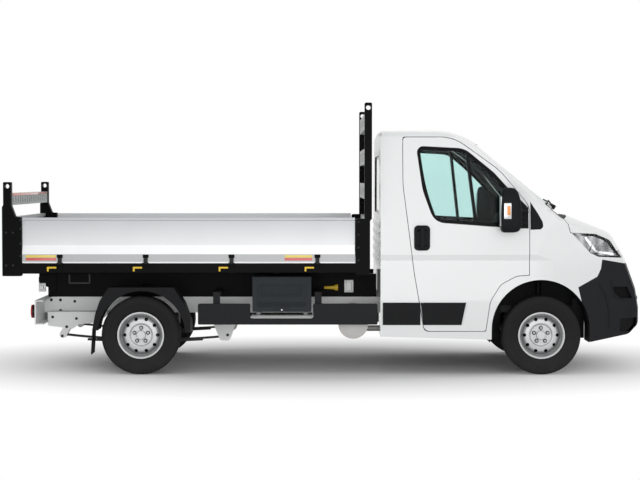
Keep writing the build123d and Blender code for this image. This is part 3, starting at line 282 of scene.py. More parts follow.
FINISH = {
    "white_paint": painted("gloss_white", (0.80, 0.815, 0.82), 0.22, coat=0.5, peel=0.03, dust=0.03, mottle=0.02,
                           lined=True),
    # painted shade: the frame is painted near black ahead of X 1.25, under the cab
    "frame_white": painted("chassis_white", (0.85, 0.86, 0.86), 0.45, dust=0.16, peel=0.12, mottle=0.06, ahead=1.25),
    "black_steel": painted("satin_black", (0.0018, 0.0019, 0.0022), 0.42, dust=0.006, peel=0.10, mottle=0.2,
                           gloss=0.06),
    "spring_steel": painted("spring_grey", (0.02, 0.02, 0.021), 0.55, dust=0.15, peel=0.2, mottle=0.2, gloss=0.2),
    "rack_grey": painted("rack_grey", (0.38, 0.40, 0.40), 0.40, dust=0.05, peel=0.08),
    "signal_yellow": painted("signal_yellow", (0.80, 0.52, 0.01), 0.38, dust=0.10, peel=0.08),
    "engine_iron": painted("engine_iron", (0.16, 0.16, 0.165), 0.65, dust=0.4, peel=0.5, mottle=0.2),
}
print(len(FINISH), "paints")

# %% [markdown]
# ## Wheel paint
# Steel wheels are sprayed silver. Their lip catches the light and the well behind it lies in shade, with road film in
# it. Both are rings, so the finish measures how far a place is from the nearer axle and shades the ring of the well.

# %% Silver with a shaded ring
AXLES = {"front": (2.0265, 0.905), "rear": (-1.7735, 0.895)}
TYRE_R = 0.372
WELL_IN, WELL_OUT = 0.156, 0.209


def wheel_silver(name):
    material, shader, place = start(name, Metallic=0.35)
    ahead = size_of(axis(place, 0) - AXLES["front"][0])
    behind = size_of(axis(place, 0) - AXLES["rear"][0])
    across = place.node("Math", {"operation": "MINIMUM"}, {0: ahead, 1: behind})
    up = axis(place, 2) - TYRE_R
    reach = place.node("Math", {"operation": "SQRT"}, {0: across * across + up * up})
    well = ((WELL_OUT - reach) / 0.004).held() * ((reach - WELL_IN) / 0.012).held()
    patches = noise(place, 2.4, 4)
    base = tint(patches * 0.6, (0.60, 0.61, 0.62), (0.52, 0.53, 0.54))
    dirt = road_dust(place, 1.3, 0.2)
    base = tint(dirt, tint(well * 0.8, base, (0.20, 0.205, 0.21)), DUST)
    roughness = (0.34 + patches * 0.06 + dirt * 0.4).held()
    return finished(material, shader, base, roughness, noise(place, SPRAY_GRAIN, 2), 0.08, 0.0004)


FINISH["wheel_steel"] = wheel_silver("wheel_silver")
print("wheel paint done")

# %% [markdown]
# ## Moulded plastic
# Bumper, mouldings, mudguards, toolbox and cabin trim are dark plastics with a pebble grain. A Voronoi pattern a
# millimetre or two across gives that grain, and its edges are kept shallow so that highlights stay soft.

# %% Grained plastic
AIR_POCKET = [(2.7035, 0.834), (2.8425, 0.834), (2.8935, 0.724), (2.7795, 0.724), (2.7225, 0.771)]
LOW_POCKET = [(2.7795, 0.528), (2.9405, 0.540), (2.9295, 0.436), (2.8835, 0.407), (2.7735, 0.407)]
GRILLE_SLOTS = (0.935, 0.990, 1.045, 1.100)


def bumper_hollows(place):
    """1 in the side pockets, the grille slots and the lower intake, which lie in deep shade."""
    x, z, off = axis(place, 0), axis(place, 2), size_of(axis(place, 1))
    pockets = (inside_of(x, z, AIR_POCKET, 0.01) > 0.003) + (inside_of(x, z, LOW_POCKET, 0.01) > 0.003) * 0.6
    slots = (z > 0.432) * (z < 0.538) * (off < 0.43)
    for low in GRILLE_SLOTS:
        slots = slots + (z > low + 0.002) * (z < low + 0.032) * (off < 0.47)
    return (pockets * (off > 0.6) + slots * (x > 2.6)).held()


def moulded(name, colour, rough, grain=700, depth=0.25, dust=0.0, hollows=None):
    material, shader, place = start(name, Specular_IOR_Level=0.10)
    pebble = place.node("TexVoronoi", {"feature": "SMOOTH_F1"}, {"Vector": place, "Scale": grain})
    patches = noise(place, 5, 4)
    dirt = road_dust(place, 1.1, dust)
    base = tint(dirt, tint(patches, colour, scaled(colour, 1.35, 0.002)), DUST)
    if hollows:
        # painted shade: the bumper's pockets, slots and intake are painted near black
        base = tint(hollows(place), base, SHADE_AND_PRINT_BLACK)
    roughness = (rough + patches * 0.12 + dirt * 0.3).held()
    return finished(material, shader, base, roughness, pebble, depth, 0.0005)


FINISH["dark_plastic"] = moulded("black_plastic", (0.006, 0.0063, 0.0072), 0.46, dust=0.015)
FINISH["bumper_grey"] = moulded("bumper_plastic", (0.0115, 0.012, 0.0136), 0.46, grain=520, depth=0.35, dust=0.01,
                                hollows=bumper_hollows)
FINISH["cabin_plastic"] = moulded("cabin_plastic", (0.012, 0.0125, 0.014), 0.55, grain=600, depth=0.3)
FINISH["toolbox_case"] = moulded("toolbox_plastic", (0.020, 0.0245, 0.0275), 0.50, grain=420, depth=0.3, dust=0.03)
FINISH["toolbox_lid"] = FINISH["toolbox_case"]
print("plastics:", [FINISH[name].name for name in ("dark_plastic", "bumper_grey", "cabin_plastic")])

# %% [markdown]
# ## Bare metal
# The bed sides are satin aluminium sections, the deck is worn steel plate and the ram is ground bright. Their marks
# run one way, so the noise is stretched along the length, and the deck also carries long scratches from its loads.

# %% Metal with a direction
def bare_metal(name, colour, rough, stretch, metal=1.0, marks=0.25, scratch=0.0):
    material, shader, place = start(name, Metallic=metal)
    lines = noise(stretched(place, stretch), 60, 3)
    patches = noise(place, 4, 5)
    worn = noise(stretched(place, (1.5, 18, 18)), 7, 6, 0.7)
    scored = ((worn - 0.56) * 9).held() * scratch
    marked = tint(patches * 0.5 + lines * marks, colour, scaled(colour, 0.72))
    base = tint(scored, marked, scaled(colour, 1.25))
    roughness = (rough + patches * 0.12 + lines * 0.10 - scored * 0.1).held()
    return finished(material, shader, base, roughness, lines + worn * scratch, 0.12, 0.0006)


FINISH["deck_steel"] = bare_metal("deck_plate", (0.42, 0.42, 0.43), 0.42, (0.4, 9, 9), 0.8, 0.4, 1.0)
FINISH["bright_steel"] = bare_metal("ground_steel", (0.62, 0.62, 0.63), 0.22, (9, 9, 0.4))
FINISH["exhaust_steel"] = bare_metal("plated_exhaust", (0.40, 0.39, 0.38), 0.40, (0.6, 6, 6), 0.9, 0.4, 0.3)
print("bare metals done")

# %% [markdown]
# ## Aluminium sides
# The dropsides and tailgate are drawn aluminium sections. Long die lines run along them, and the tall field is painted
# a little darker towards its top edge as painted shade. The band below it carries a painted highlight, the foot is
# painted as a section in shade with a painted highlight on its lip, and the inside faces are painted lighter as painted
# light.

# %% Drawn aluminium
# painted highlight and shade: the top of each band in Z and its grey
LIT_AND_SHADED_BANDS = ((1.231, 0.96), (1.146, 0.43), (1.074, 0.88))
STRAP_FACE_Y = 1.0503


def drawn_sides(name):
    material, shader, place = start(name, Metallic=0.25, Specular_IOR_Level=0.3)
    lines = noise(stretched(place, (0.15, 40, 40)), 14, 3)
    patches = noise(place, 3, 4)
    # painted shade: the tall field darkens towards its top edge
    height = ((1.50 - axis(place, 2)) / 0.27).held()
    base = tint(height, (0.48, 0.495, 0.51), (0.75, 0.76, 0.77))
    # painted highlight and shade: a bright band below the field, a shaded foot and a bright lip
    for top, shade in LIT_AND_SHADED_BANDS:
        base = tint(axis(place, 2) < top, base, (shade, shade * 1.01, shade * 1.02))
    # painted light: faces that look inwards are painted lighter
    base = tint(axis(facing(place), 1) * axis(place, 1) < -0.05, base, (0.80, 0.81, 0.82))
    base = tint(patches * 0.14 + lines * 0.10, base, (0.45, 0.46, 0.48))
    strap = size_of(axis(place, 1)) > STRAP_FACE_Y
    base = tint(strap, base, (0.006, 0.006, 0.007))
    return finished(material, shader, base, (0.33 + patches * 0.1 + lines * 0.08).held(), lines, 0.10, 0.0005)


FINISH["panel_grey"] = drawn_sides("drawn_aluminium")
print("aluminium:", FINISH["panel_grey"].name)

# %% [markdown]
# ## Glass, lenses, rubber and cloth
# The windows have a green tint, so the shader lets light through and colours it. Each pane is printed black along its
# edge, which is found as the distance in from the lines of its outline. Lamp lenses are clear or red plastic with fine
# flutes. Tyres are dull rubber, a little dusty where they meet the road, and the seats are woven cloth.

# %% Glass and lenses
PANE_SOFTNESS = 0.06


def window_glass(name, colour, corners, side_on, border):
    """Tinted glass, printed black along the edge of its outline as seen from the side or from the front."""
    material, shader, place = start(name, Transmission_Weight=1.0, IOR=1.16)
    haze = noise(place, 6, 4)
    clear = tint(haze * 0.3, colour, scaled(colour, 0.96))
    depth = inside_of(axis(place, 0 if side_on else 1), axis(place, 2), corners, PANE_SOFTNESS)
    printed = (1 - ((depth - border) / 0.004).held()).held()
    return finished(material, shader, tint(printed, clear, SHADE_AND_PRINT_BLACK), haze * 0.02 + printed * 0.12)


def lamp_lens(name, colour, through, flutes, bezel=None):
    material, shader, place = start(name, Transmission_Weight=through, IOR=1.25, Coat_Weight=0.15)
    stripes = waves(place, "Z", flutes)
    haze = noise(place, 8, 4)
    base = tint(haze * 0.4, colour, scaled(colour, 0.8))
    if bezel:
        base = tint(axis(place, 0) > bezel, base, (0.004, 0.004, 0.004))
    return finished(material, shader, base, 0.06 + haze * 0.06, stripes, 0.08)


GREEN = (0.70, 0.875, 0.855)
DOOR_WINDOW = [(0.8365, 2.170), (1.2965, 2.145), (1.5765, 1.915), (1.859, 1.600), (1.859, 1.398), (1.5665, 1.403),
               (1.0065, 1.445), (0.8965, 1.750)]
SCREEN = [(-0.69, 2.19), (0.69, 2.19), (0.84, 1.56), (-0.84, 1.56)]
REAR_WINDOW = [(-0.57, 2.08), (0.57, 2.08), (0.60, 1.52), (-0.60, 1.52)]
FINISH["tinted_glass"] = window_glass("door_glass", GREEN, DOOR_WINDOW, True, 0.030)
FINISH["windscreen"] = window_glass("screen_glass", GREEN, SCREEN, False, 0.045)
FINISH["rear_window"] = window_glass("rear_glass", GREEN, REAR_WINDOW, False, 0.028)
FINISH["lamp_clear"] = lamp_lens("clear_lens", (0.93, 0.95, 0.96), 1.0, 4)
FINISH["lamp_red"] = lamp_lens("red_lens", (0.55, 0.008, 0.010), 0.0, 60, -2.824)
print("glass and lenses done")

# %% Rubber and cloth
def tyre_rubber(name):
    material, shader, place = start(name, Specular_IOR_Level=0.18)
    patches = noise(place, 14, 5)
    base = tint(patches, (0.007, 0.007, 0.0078), (0.013, 0.0128, 0.0128))
    base = tint(road_dust(place, 0.5, 0.05), base, DUST)
    return finished(material, shader, base, 0.62 + patches * 0.2, noise(place, 600, 2), 0.25, 0.0006)


def woven_cloth(name, colour):
    material, shader, place = start(name, Roughness=0.9, Sheen_Weight=0.25)
    weave = waves(place, "X", 130, 0.6) * waves(place, "Z", 130, 0.6)
    patches = noise(place, 11, 4)
    feed(shader, "Base Color", tint((weave * 0.7 + patches * 0.3).held(), colour, scaled(colour, 1.9)))
    bumped(shader, weave, 0.4, 0.0008)
    return material


FINISH["tyre_rubber"] = tyre_rubber("tyre_rubber")
FINISH["seat_cloth"] = woven_cloth("seat_cloth", (0.030, 0.032, 0.038))
print(len(FINISH), "finishes")

# %% [markdown]
# ## Finishes on the solids
# The record names one finish for each solid. The solids keep their meshes, and only their material slots change.

# %% Every solid gets its finish
for row in frame["record"]["subparts"]:
    solid = nodes[row["node"]]
    solid.data.materials.clear()
    solid.data.materials.append(FINISH.get(row["node"], FINISH[row["material_slot"]]))

# %% [markdown]
# ## Tools for new pieces
# Every new piece starts as a primitive at its true size and place, is shaped in edit mode, and ends with its place in
# its mesh. These helpers hold the steps that all pieces share: choosing faces or edges by where they lie, rounding
# edges, and dressing the piece so that it rides on its body.

# %% Choosing, rounding and dressing
SIDES = (("right", -1), ("left", 1))
WHEELS = [(f"{end}_{side}", way, *axle) for end, axle in AXLES.items() for side, way in SIDES]


def object_mode():
    bpy.ops.object.mode_set(mode="OBJECT")


def nothing_selected():
    bpy.ops.object.select_all(action="DESELECT")


def choose(piece, kind, test):
    """Selects the faces, edges or vertices whose middle passes a test, and leaves the piece in edit mode."""
    bpy.ops.object.mode_set(mode="EDIT")
    bpy.context.tool_settings.mesh_select_mode = (kind == "vertices", kind == "edges", kind == "polygons")
    bpy.ops.mesh.select_all(action="DESELECT")
    object_mode()
    points = piece.data.vertices
    for part in getattr(piece.data, kind):
        corners = [part] if kind == "vertices" else [points[index] for index in part.vertices]
        middle = sum((corner.co for corner in corners), Vector()) / len(corners)
        part.select = bool(test(middle, part))
    bpy.ops.object.mode_set(mode="EDIT")


def settle(piece):
    """Back to object mode, with place, turn and size moved into the mesh."""
    if bpy.context.mode != "OBJECT":
        object_mode()
    nothing_selected()
    piece.select_set(True)
    bpy.context.view_layer.objects.active = piece
    bpy.ops.object.transform_apply(location=True, rotation=True, scale=True)


def rounded(piece, width, segments=2):
    """Rounds every edge of the piece."""
    settle(piece)
    bpy.ops.object.mode_set(mode="EDIT")
    bpy.ops.mesh.select_all(action="SELECT")
    bpy.ops.mesh.bevel(offset=width, segments=segments, affect="EDGES")
    object_mode()
    return piece


def block(low, high, lean=0.0):
    """A plain block between two corners, leaned about Y if asked."""
    nothing_selected()
    middle = [(a + b) / 2 for a, b in zip(low, high)]
    size = [b - a for a, b in zip(low, high)]
    bpy.ops.mesh.primitive_cube_add(size=1, location=middle, rotation=(0, lean, 0), scale=size)
    return bpy.context.object


def slab(low, high, width):
    """A rounded block between two corners."""
    return rounded(block(low, high), min([width] + [(b - a) * 0.45 for a, b in zip(low, high)]))


def side_slab(way, along, out, up, width=0.003):
    """A slab on one side of the truck, from its spans in X, away from the middle and in Z."""
    near, far = sorted((way * out[0], way * out[1]))
    return slab((along[0], near, up[0]), (along[1], far, up[1]), width)


def rod(foot, tip, radius, sides=20, width=0.002):
    """A round bar between two points, with softened ends."""
    nothing_selected()
    foot, tip = Vector(foot), Vector(tip)
    run = tip - foot
    centre = (foot + tip) / 2
    bpy.ops.mesh.primitive_cylinder_add(vertices=sides, radius=radius, depth=run.length, location=centre,
                                        rotation=run.to_track_quat("Z", "Y").to_euler())
    piece = bpy.context.object
    settle(piece)
    way = run.normalized()
    choose(piece, "edges", lambda middle, edge: abs((middle - centre).dot(way)) > run.length * 0.499)
    bpy.ops.mesh.bevel(offset=min(width, radius * 0.4, run.length * 0.3), segments=2, affect="EDGES")
    object_mode()
    return piece


def panelled(piece, test, rim, slope, depth):
    """Leaves a rim on the chosen faces and moves the panel inside it out or in."""
    choose(piece, "polygons", test)
    bpy.ops.mesh.inset(thickness=rim, depth=0.0)
    bpy.ops.mesh.inset(thickness=slope, depth=depth)
    object_mode()
    return piece


def shifted(piece, test, move):
    """Moves the vertices whose place passes a test."""
    choose(piece, "vertices", lambda place, point: test(place))
    bpy.ops.transform.translate(value=move)
    object_mode()
    return piece


def modified(piece, kind, **settings):
    """Adds one modifier, sets it and applies it."""
    bpy.ops.object.modifier_add(type=kind)
    modifier = piece.modifiers[-1]
    for name, value in settings.items():
        setattr(modifier, name, value)
    bpy.ops.object.modifier_apply(modifier=modifier.name)
    return piece


def copied(node):
    """A free copy of a solid, with its split vertices merged."""
    nothing_selected()
    piece = bpy.data.objects.new("copy", nodes[node].data.copy())
    bpy.context.collection.objects.link(piece)
    settle(piece)
    bpy.ops.object.mode_set(mode="EDIT")
    bpy.ops.mesh.select_all(action="SELECT")
    bpy.ops.mesh.remove_doubles(threshold=0.0001)
    object_mode()
    return piece


def joined(pieces):
    """One object from several."""
    nothing_selected()
    for piece in pieces:
        piece.select_set(True)
    bpy.context.view_layer.objects.active = pieces[0]
    bpy.ops.object.join()
    return bpy.context.object


def dressed(piece, name, finish, body, angle=35):
    """Names the piece, gives it its finish and lets it ride on its body."""
    settle(piece)
    piece.name = name
    piece.data.name = name
    piece.data.materials.clear()
    piece.data.materials.append(FINISH[finish])
    bpy.ops.object.shade_smooth_by_angle(angle=math.radians(angle))
    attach(piece, body)
    return piece


print("tools ready")

# %% [markdown]
# ## Tyres
# A van tyre has a belt of tread blocks and sidewalls that bulge and then tuck in to the rim. It could be cut from a
# torus, but a cylinder is closer: its wall is divided into bands, each face is inset by itself to raise a tread block,
# and the two open ends are extruded and scaled step by step down the sidewall to the bead.

# %% One tyre, modelled at the origin and moved to its wheel
TREAD_HALF = 0.088
TREAD_DEPTH = 0.007
SIDEWALL = [(0.984, 0.099), (0.955, 0.107), (0.90, 0.112), (0.83, 0.1125), (0.80, 0.111), (0.795, 0.108),
            (0.74, 0.105), (0.67, 0.098), (0.615, 0.090), (0.60, 0.082)]


def tyre(axle_x, wheel_y):
    nothing_selected()
    base = TYRE_R - TREAD_DEPTH
    bpy.ops.mesh.primitive_cylinder_add(vertices=84, radius=base, depth=2 * TREAD_HALF, end_fill_type="NOTHING",
                                        rotation=(math.pi / 2, 0, 0))
    piece = bpy.context.object
    settle(piece)
    choose(piece, "edges", lambda middle, edge: abs(middle.y) < 0.01)
    bpy.ops.mesh.subdivide(number_cuts=4)
    object_mode()
    for side in (-1, 1):
        choose(piece, "edges", lambda middle, edge: middle.y * side > TREAD_HALF - 0.001)
        reach, out = 1.0, TREAD_HALF
        for share, place in SIDEWALL:
            bpy.ops.mesh.extrude_edges_move(TRANSFORM_OT_translate={"value": (0, side * (place - out), 0)})
            step = share * TYRE_R / (reach * base)
            bpy.ops.transform.resize(value=(step, 1, step), center_override=(0, 0, 0))
            reach, out = share * TYRE_R / base, place
        object_mode()
    choose(piece, "polygons", lambda middle, face: abs(middle.y) < TREAD_HALF - 0.002)
    bpy.ops.mesh.inset(thickness=0.0025, depth=0.006, use_individual=True)
    bpy.ops.mesh.select_all(action="SELECT")
    bpy.ops.mesh.normals_make_consistent(inside=False)
    object_mode()
    piece.location = (axle_x, wheel_y, TYRE_R)
    return piece


print("sidewall steps:", len(SIDEWALL))

# %% Four tyres on their wheels
for wheel, way, axle_x, reach in WHEELS:
    node = f"tyre_{wheel}"
    piece = dressed(tyre(axle_x, way * reach), f"tread_{wheel}", "tyre_rubber", f"wheel_{wheel}")
    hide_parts(node)

# %% [markdown]
# ## Wheel bolts
# Each wheel is held by five hexagon bolts in round seats. A hexagon is a cylinder with six sides, so a short rod with
# softened ends makes the head, a wider and flatter one makes the seat, and each bolt is placed by an angle.

# %% Five bolts in every wheel
def bolt(place, way, radius, height, seat=0.0):
    """A hexagon head that points along Y, on a round seat if one is given."""
    x, y, z = place
    parts = [rod((x, y - way * 0.006, z), (x, y + way * height, z), radius, 6, radius * 0.15)]
    if seat:
        parts.append(rod((x, y - way * 0.004, z), (x, y + way * height * 0.35, z), seat, 24, 0.001))
    return parts


BOLT_CIRCLE = 0.068
HUB_OUT = 0.034
for wheel, way, axle_x, reach in WHEELS:
    heads, seats = [], []
    for step in range(5):
        turn = math.radians(90 + 72 * step)
        x, z = axle_x + BOLT_CIRCLE * math.cos(turn), TYRE_R + BOLT_CIRCLE * math.sin(turn)
        head, seat = bolt((x, way * (reach + HUB_OUT), z), way, radius=0.013, height=0.020, seat=0.019)
        heads.append(head)
        seats.append(seat)
    dressed(joined(heads), f"wheel_bolts_{wheel}", "exhaust_steel", f"wheel_{wheel}")
    dressed(joined(seats), f"wheel_seats_{wheel}", "spring_steel", f"wheel_{wheel}")
print("twenty wheel bolts")

# %% [markdown]
# ## Bolts and plates on the frame
# The rear of the chassis carries bolted brackets and the spring shackles have bolts at both ends. Their places were
# read from the picture in X and Z. A ray cast from outside finds the steel at each place, so every bolt sits on it.

# %% Bolts on the chassis
def outer_face(node, x, z, way):
    """Y of the solid's outside at a place in side view, or None where there is no steel."""
    hit, place, _, _ = nodes[node].ray_cast(Vector((x, way * 3, z)), Vector((0, -way, 0)))
    return place.y if hit else None


FRAME_BOLTS = [(-2.71, 0.669), (-2.62, 0.669), (-2.62, 0.566), (-2.67, 0.515), (-2.44, 0.500), (-2.48, 0.655),
               (-2.535, 0.420), (-2.578, 0.330), (-1.05, 0.62), (-0.98, 0.62), (-0.97, 0.34), (0.42, 0.62)]


def frame_bolts(way):
    heads = []
    for x, z in FRAME_BOLTS:
        y = outer_face("chassis_frame", x, z, way)
        if y is not None and abs(y) < 0.75:
            heads += bolt((x, y, z), way, radius=0.010, height=0.009, seat=0.014)
    return heads


dressed(joined(frame_bolts(-1) + frame_bolts(1)), "frame_bolts", "spring_steel", "chassis")
print("bolts on the frame")

# %% [markdown]
# ## Guide blocks
# Pale blocks on the sides of the tipping frame centre the bed as it comes down. Each is a rounded plate with a raised
# middle, made by insetting the outer face and pulling it out.

# %% Pale guide blocks
GUIDE_FACE = 0.474
GUIDES = [((0.165, 0.255), (0.745, 0.868)), ((-2.828, -2.757), (0.752, 0.836))]
GUIDE_BOLTS = [(0.19, 0.77), (0.19, 0.845), (-2.812, 0.768), (-2.812, 0.822)]


def guide_block(along, up, way):
    piece = side_slab(way, along, (0.453, GUIDE_FACE), up, 0.004)
    return panelled(piece, lambda middle, face: abs(middle.y - way * GUIDE_FACE) < 0.0005 and face.area > 0.002,
                    0.016, 0.004, 0.006)


blocks = []
for side, way in SIDES:
    blocks += [guide_block(along, up, way) for along, up in GUIDES]
    for x, z in GUIDE_BOLTS:
        place = (x, way * (GUIDE_FACE + 0.002), z)
        blocks += bolt(place, way, radius=0.008, height=0.006, seat=0.012)
dressed(joined(blocks), "guide_blocks", "white_paint", "chassis")
print("guide blocks made")

# %% [markdown]
# ## Hinge straps
# Each dropside hangs on four black straps with a broad head. The narrow part of a strap belongs to the solid, and the
# head is a rounded plate with a bolt. It stays above the bearing, so it clears the ears when the side hangs down.

# %% Straps on both dropsides
STRAP_X = (-2.524, -1.715, -0.906, -0.097)


def straps(side, way):
    parts = []
    for x in STRAP_X:
        y = outer_face(f"dropside_{side}", x, 1.11, way)
        parts.append(side_slab(way, (x - 0.027, x + 0.027), (way * y - 0.006, way * y + 0.004), (1.112, 1.143)))
        parts += bolt((x, y + way * 0.003, 1.128), way, radius=0.007, height=0.006)
    return joined(parts)


for side, way in SIDES:
    dressed(straps(side, way), f"straps_{side}", "black_steel", f"dropside_{side}")
print(2 * len(STRAP_X), "straps")

# %% [markdown]
# ## Marker tape
# Plain reflective tape in yellow over red marks both ends of the lower band. It is a very thin rounded strip, laid on
# the dropside, and its finish has the fine honeycomb of reflective sheeting.

# %% Tape finishes and strips
def reflective(name, colour):
    material, shader, place = start(name, Coat_Weight=0.6)
    cells = place.node("TexVoronoi", {"feature": "DISTANCE_TO_EDGE"}, {"Vector": place, "Scale": 260})
    lines = (cells < 0.06).held()
    return finished(material, shader, tint(lines * 0.35, colour, (0.75, 0.75, 0.72)), 0.25 + noise(place, 20) * 0.2)


FINISH["tape_yellow"] = reflective("tape_yellow", (0.80, 0.60, 0.02))
FINISH["tape_red"] = reflective("tape_red", (0.62, 0.012, 0.016))


TAPE_X = ((-2.845, -2.560), (-0.405, -0.145))


def tape(side, way, up):
    strips = []
    for along in TAPE_X:
        out = way * outer_face(f"dropside_{side}", sum(along) / 2, sum(up) / 2, way)
        strips.append(side_slab(way, along, (out - 0.001, out + 0.0008), up, 0.0006))
    return joined(strips)


for side, way in SIDES:
    yellow, red = tape(side, way, (1.114, 1.138)), tape(side, way, (1.087, 1.112))
    dressed(yellow, f"tape_yellow_{side}", "tape_yellow", f"dropside_{side}")
    dressed(red, f"tape_red_{side}", "tape_red", f"dropside_{side}")
print("tape at both ends of both sides")

# %% [markdown]
# ## Rear rack strip
# The rear rack beam wears a salmon-red reflective strip along the top of its inner face. It is one long rounded strip
# that lies on the beam between the two posts.

# %% The strip along the beam
FINISH["tape_salmon"] = reflective("tape_salmon", (0.80, 0.20, 0.13))
_, beam_place, _, _ = nodes["rack_beams"].ray_cast(Vector((-2.5, 0.85, 1.708)), Vector((-1, 0, 0)))
strip = slab((beam_place.x - 0.001, -0.93, 1.697), (beam_place.x + 0.0012, 0.93, 1.720), 0.0008)
dressed(strip, "rack_strip", "tape_salmon", "bed")
print("strip lies at X", round(beam_place.x, 3))

# %% [markdown]
# ## Toolbox lid
# The lid of a plastic toolbox is stiffened by a raised frame and ribs, and closed by a latch at its foot. The frame is
# a flat block whose face is inset and pushed in, and the ribs inside it are plain upright bars.

# %% Raised frame, ribs and latch
LID_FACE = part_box("toolbox_lid")[0][1]


LATCH_X, LATCH_Z = -0.434, 0.617


def on_lid(along, up, proud, sunk, width):
    """A slab that stands proud of the lid and is sunk into it."""
    return slab((along[0], LID_FACE - proud, up[0]), (along[1], LID_FACE + sunk, up[1]), width)


lid_frame = panelled(on_lid((-0.640, -0.243), (0.748, 0.872), 0.002, 0.009, 0.004),
                     lambda middle, face: middle.y < LID_FACE - 0.0015 and face.area > 0.01, 0.010, 0.003, -0.006)
lid_parts = [lid_frame]
for step in range(9):
    x = -0.603 + step * 0.0404
    lid_parts.append(on_lid((x - 0.010, x + 0.010), (0.772, 0.848), 0.001, 0.006, 0.003))
for z in (0.683, 0.664, 0.645):
    lid_parts.append(on_lid((-0.66, -0.21), (z - 0.003, z + 0.003), 0.001, 0.009, 0.002))
lid_parts.append(on_lid((-0.508, -0.360), (0.606, 0.628), 0.010, 0.004, 0.005))
dressed(joined(lid_parts), "toolbox_ribs", "toolbox_lid", "toolbox_lid")
lock = rod((LATCH_X, LID_FACE, LATCH_Z), (LATCH_X, LID_FACE - 0.013, LATCH_Z), 0.008)
dressed(lock, "toolbox_lock", "bright_steel", "toolbox_lid")
print("lid face at Y", round(LID_FACE, 3))

# %% [markdown]
# ## Toolbox tray
# The toolbox stands on a galvanised tray whose pale lip shows below it. The tray is a flat plate with a turned-up
# edge, carried by two feet that reach up to the box.

# %% Tray under the box
tray = [slab((-0.728, -0.982, 0.540), (-0.142, -0.955, 0.562), 0.002),
        slab((-0.728, -0.982, 0.540), (-0.142, -0.600, 0.544), 0.001)]
for x in (-0.66, -0.21):
    tray.append(slab((x - 0.02, -0.90, 0.541), (x + 0.02, -0.62, 0.597), 0.003))
dressed(joined(tray), "toolbox_tray", "rack_grey", "chassis")
print("tray made")

# %% [markdown]
# ## Tipping safety prop
# A yellow grip on the side of the tipping frame belongs to the prop that holds the raised bed. It is slim at the back
# and flares to a flat end, so a cylinder is lengthened ring by ring with extrude and resize.

# %% The yellow grip
GRIP_RINGS = [(0.022, 1.15), (0.030, 1.10), (0.030, 1.12), (0.012, 1.35), (0.006, 1.15), (0.020, 1.0), (0.004, 0.94)]


def prop_grip():
    nothing_selected()
    bpy.ops.mesh.primitive_cylinder_add(vertices=32, radius=0.013, depth=0.01, location=(-0.026, -0.4675, 0.793),
                                        rotation=(0, math.pi / 2, 0))
    piece = bpy.context.object
    settle(piece)
    choose(piece, "polygons", lambda middle, face: middle.x > -0.0215)
    for run, grow in GRIP_RINGS:
        bpy.ops.mesh.extrude_region_move(TRANSFORM_OT_translate={"value": (run, 0, 0)})
        bpy.ops.transform.resize(value=(1, min(grow, 1.02), grow))
    object_mode()
    return piece


grip = dressed(prop_grip(), "prop_grip", "signal_yellow", "chassis")
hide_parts("body_prop")
print("grip spans", [round(value, 3) for value in grip.dimensions])

# %% [markdown]
# ## Seats
# The cab has a driver's seat and a bench for two, upholstered in dark woven cloth. A block looks hard, so each cushion
# is a rounded block that is remeshed into small even faces and blown up a little by the cloth solver, as foam pushes
# its cover out. The swelling is capped, so each cushion keeps to its place.

# %% A cushion that swells
SWELL_FRAMES = 20
SWELL_CAP = 0.022
CLOTH_GRAIN = 0.012


def swollen(piece, cap):
    """Blows the cover out by cloth pressure and holds every point within the cap."""
    scene = bpy.context.scene
    before = [point.co.copy() for point in piece.data.vertices]
    bpy.ops.object.modifier_add(type="CLOTH")
    cloth = piece.modifiers[-1]
    cloth.settings.use_pressure = True
    cloth.settings.uniform_pressure_force = 4
    cloth.settings.quality = 4
    cloth.settings.effector_weights.gravity = 0
    cloth.point_cache.frame_start = 1
    cloth.point_cache.frame_end = SWELL_FRAMES
    for frame_number in range(1, SWELL_FRAMES + 1):
        scene.frame_set(frame_number)
    bpy.ops.object.modifier_apply(modifier=cloth.name)
    scene.frame_set(1)
    for point, rest in zip(piece.data.vertices, before):
        move = point.co - rest
        if move.length > cap:
            point.co = rest + move.normalized() * cap


def cushion(low, high, lean, edge=0.035, cap=SWELL_CAP):
    piece = rounded(block(low, high, lean), edge, 3)
    piece.data.remesh_voxel_size = CLOTH_GRAIN
    bpy.ops.object.voxel_remesh()
    swollen(piece, cap)
    return modified(piece, "SUBSURF", levels=1, render_levels=1)


print("cushions swell by", SWELL_CAP, "m at most")

# %% Pads of both seats
SEATS = {"driver": (-0.83, -0.31, (-0.57,)), "bench": (-0.23, 0.83, (0.04, 0.56))}
bases, backs = [], []
for low_y, high_y, heads in SEATS.values():
    bases.append(cushion((0.785, low_y + 0.022, 0.945), (1.325, high_y - 0.022, 1.075), -0.05))
    backs.append(cushion((0.665, low_y + 0.022, 1.060), (0.790, high_y - 0.022, 1.665), -0.262))
    for y in heads:
        backs.append(cushion((0.585, y - 0.105, 1.705), (0.660, y + 0.105, 1.842), -0.15, 0.025, 0.012))
for name, cushions in (("seat_bases", bases), ("seat_backs", backs)):
    pads = dressed(joined(cushions), name, "seat_cloth", "chassis", angle=60)
    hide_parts("seats")
    print(name, "span", [round(value, 3) for value in pads.dimensions])

# %% Plinths and head rest stems
frames = []
for low_y, high_y, heads in SEATS.values():
    frames.append(slab((0.83, low_y + 0.04, 0.7406), (1.30, high_y - 0.04, 0.945), 0.012))
    for y in heads:
        for off in (-0.05, 0.05):
            frames.append(rod((0.638, y + off, 1.60), (0.622, y + off, 1.75), 0.006))
dressed(joined(frames), "seat_plinths", "cabin_plastic", "chassis")
print(len(frames), "plinths and stems")

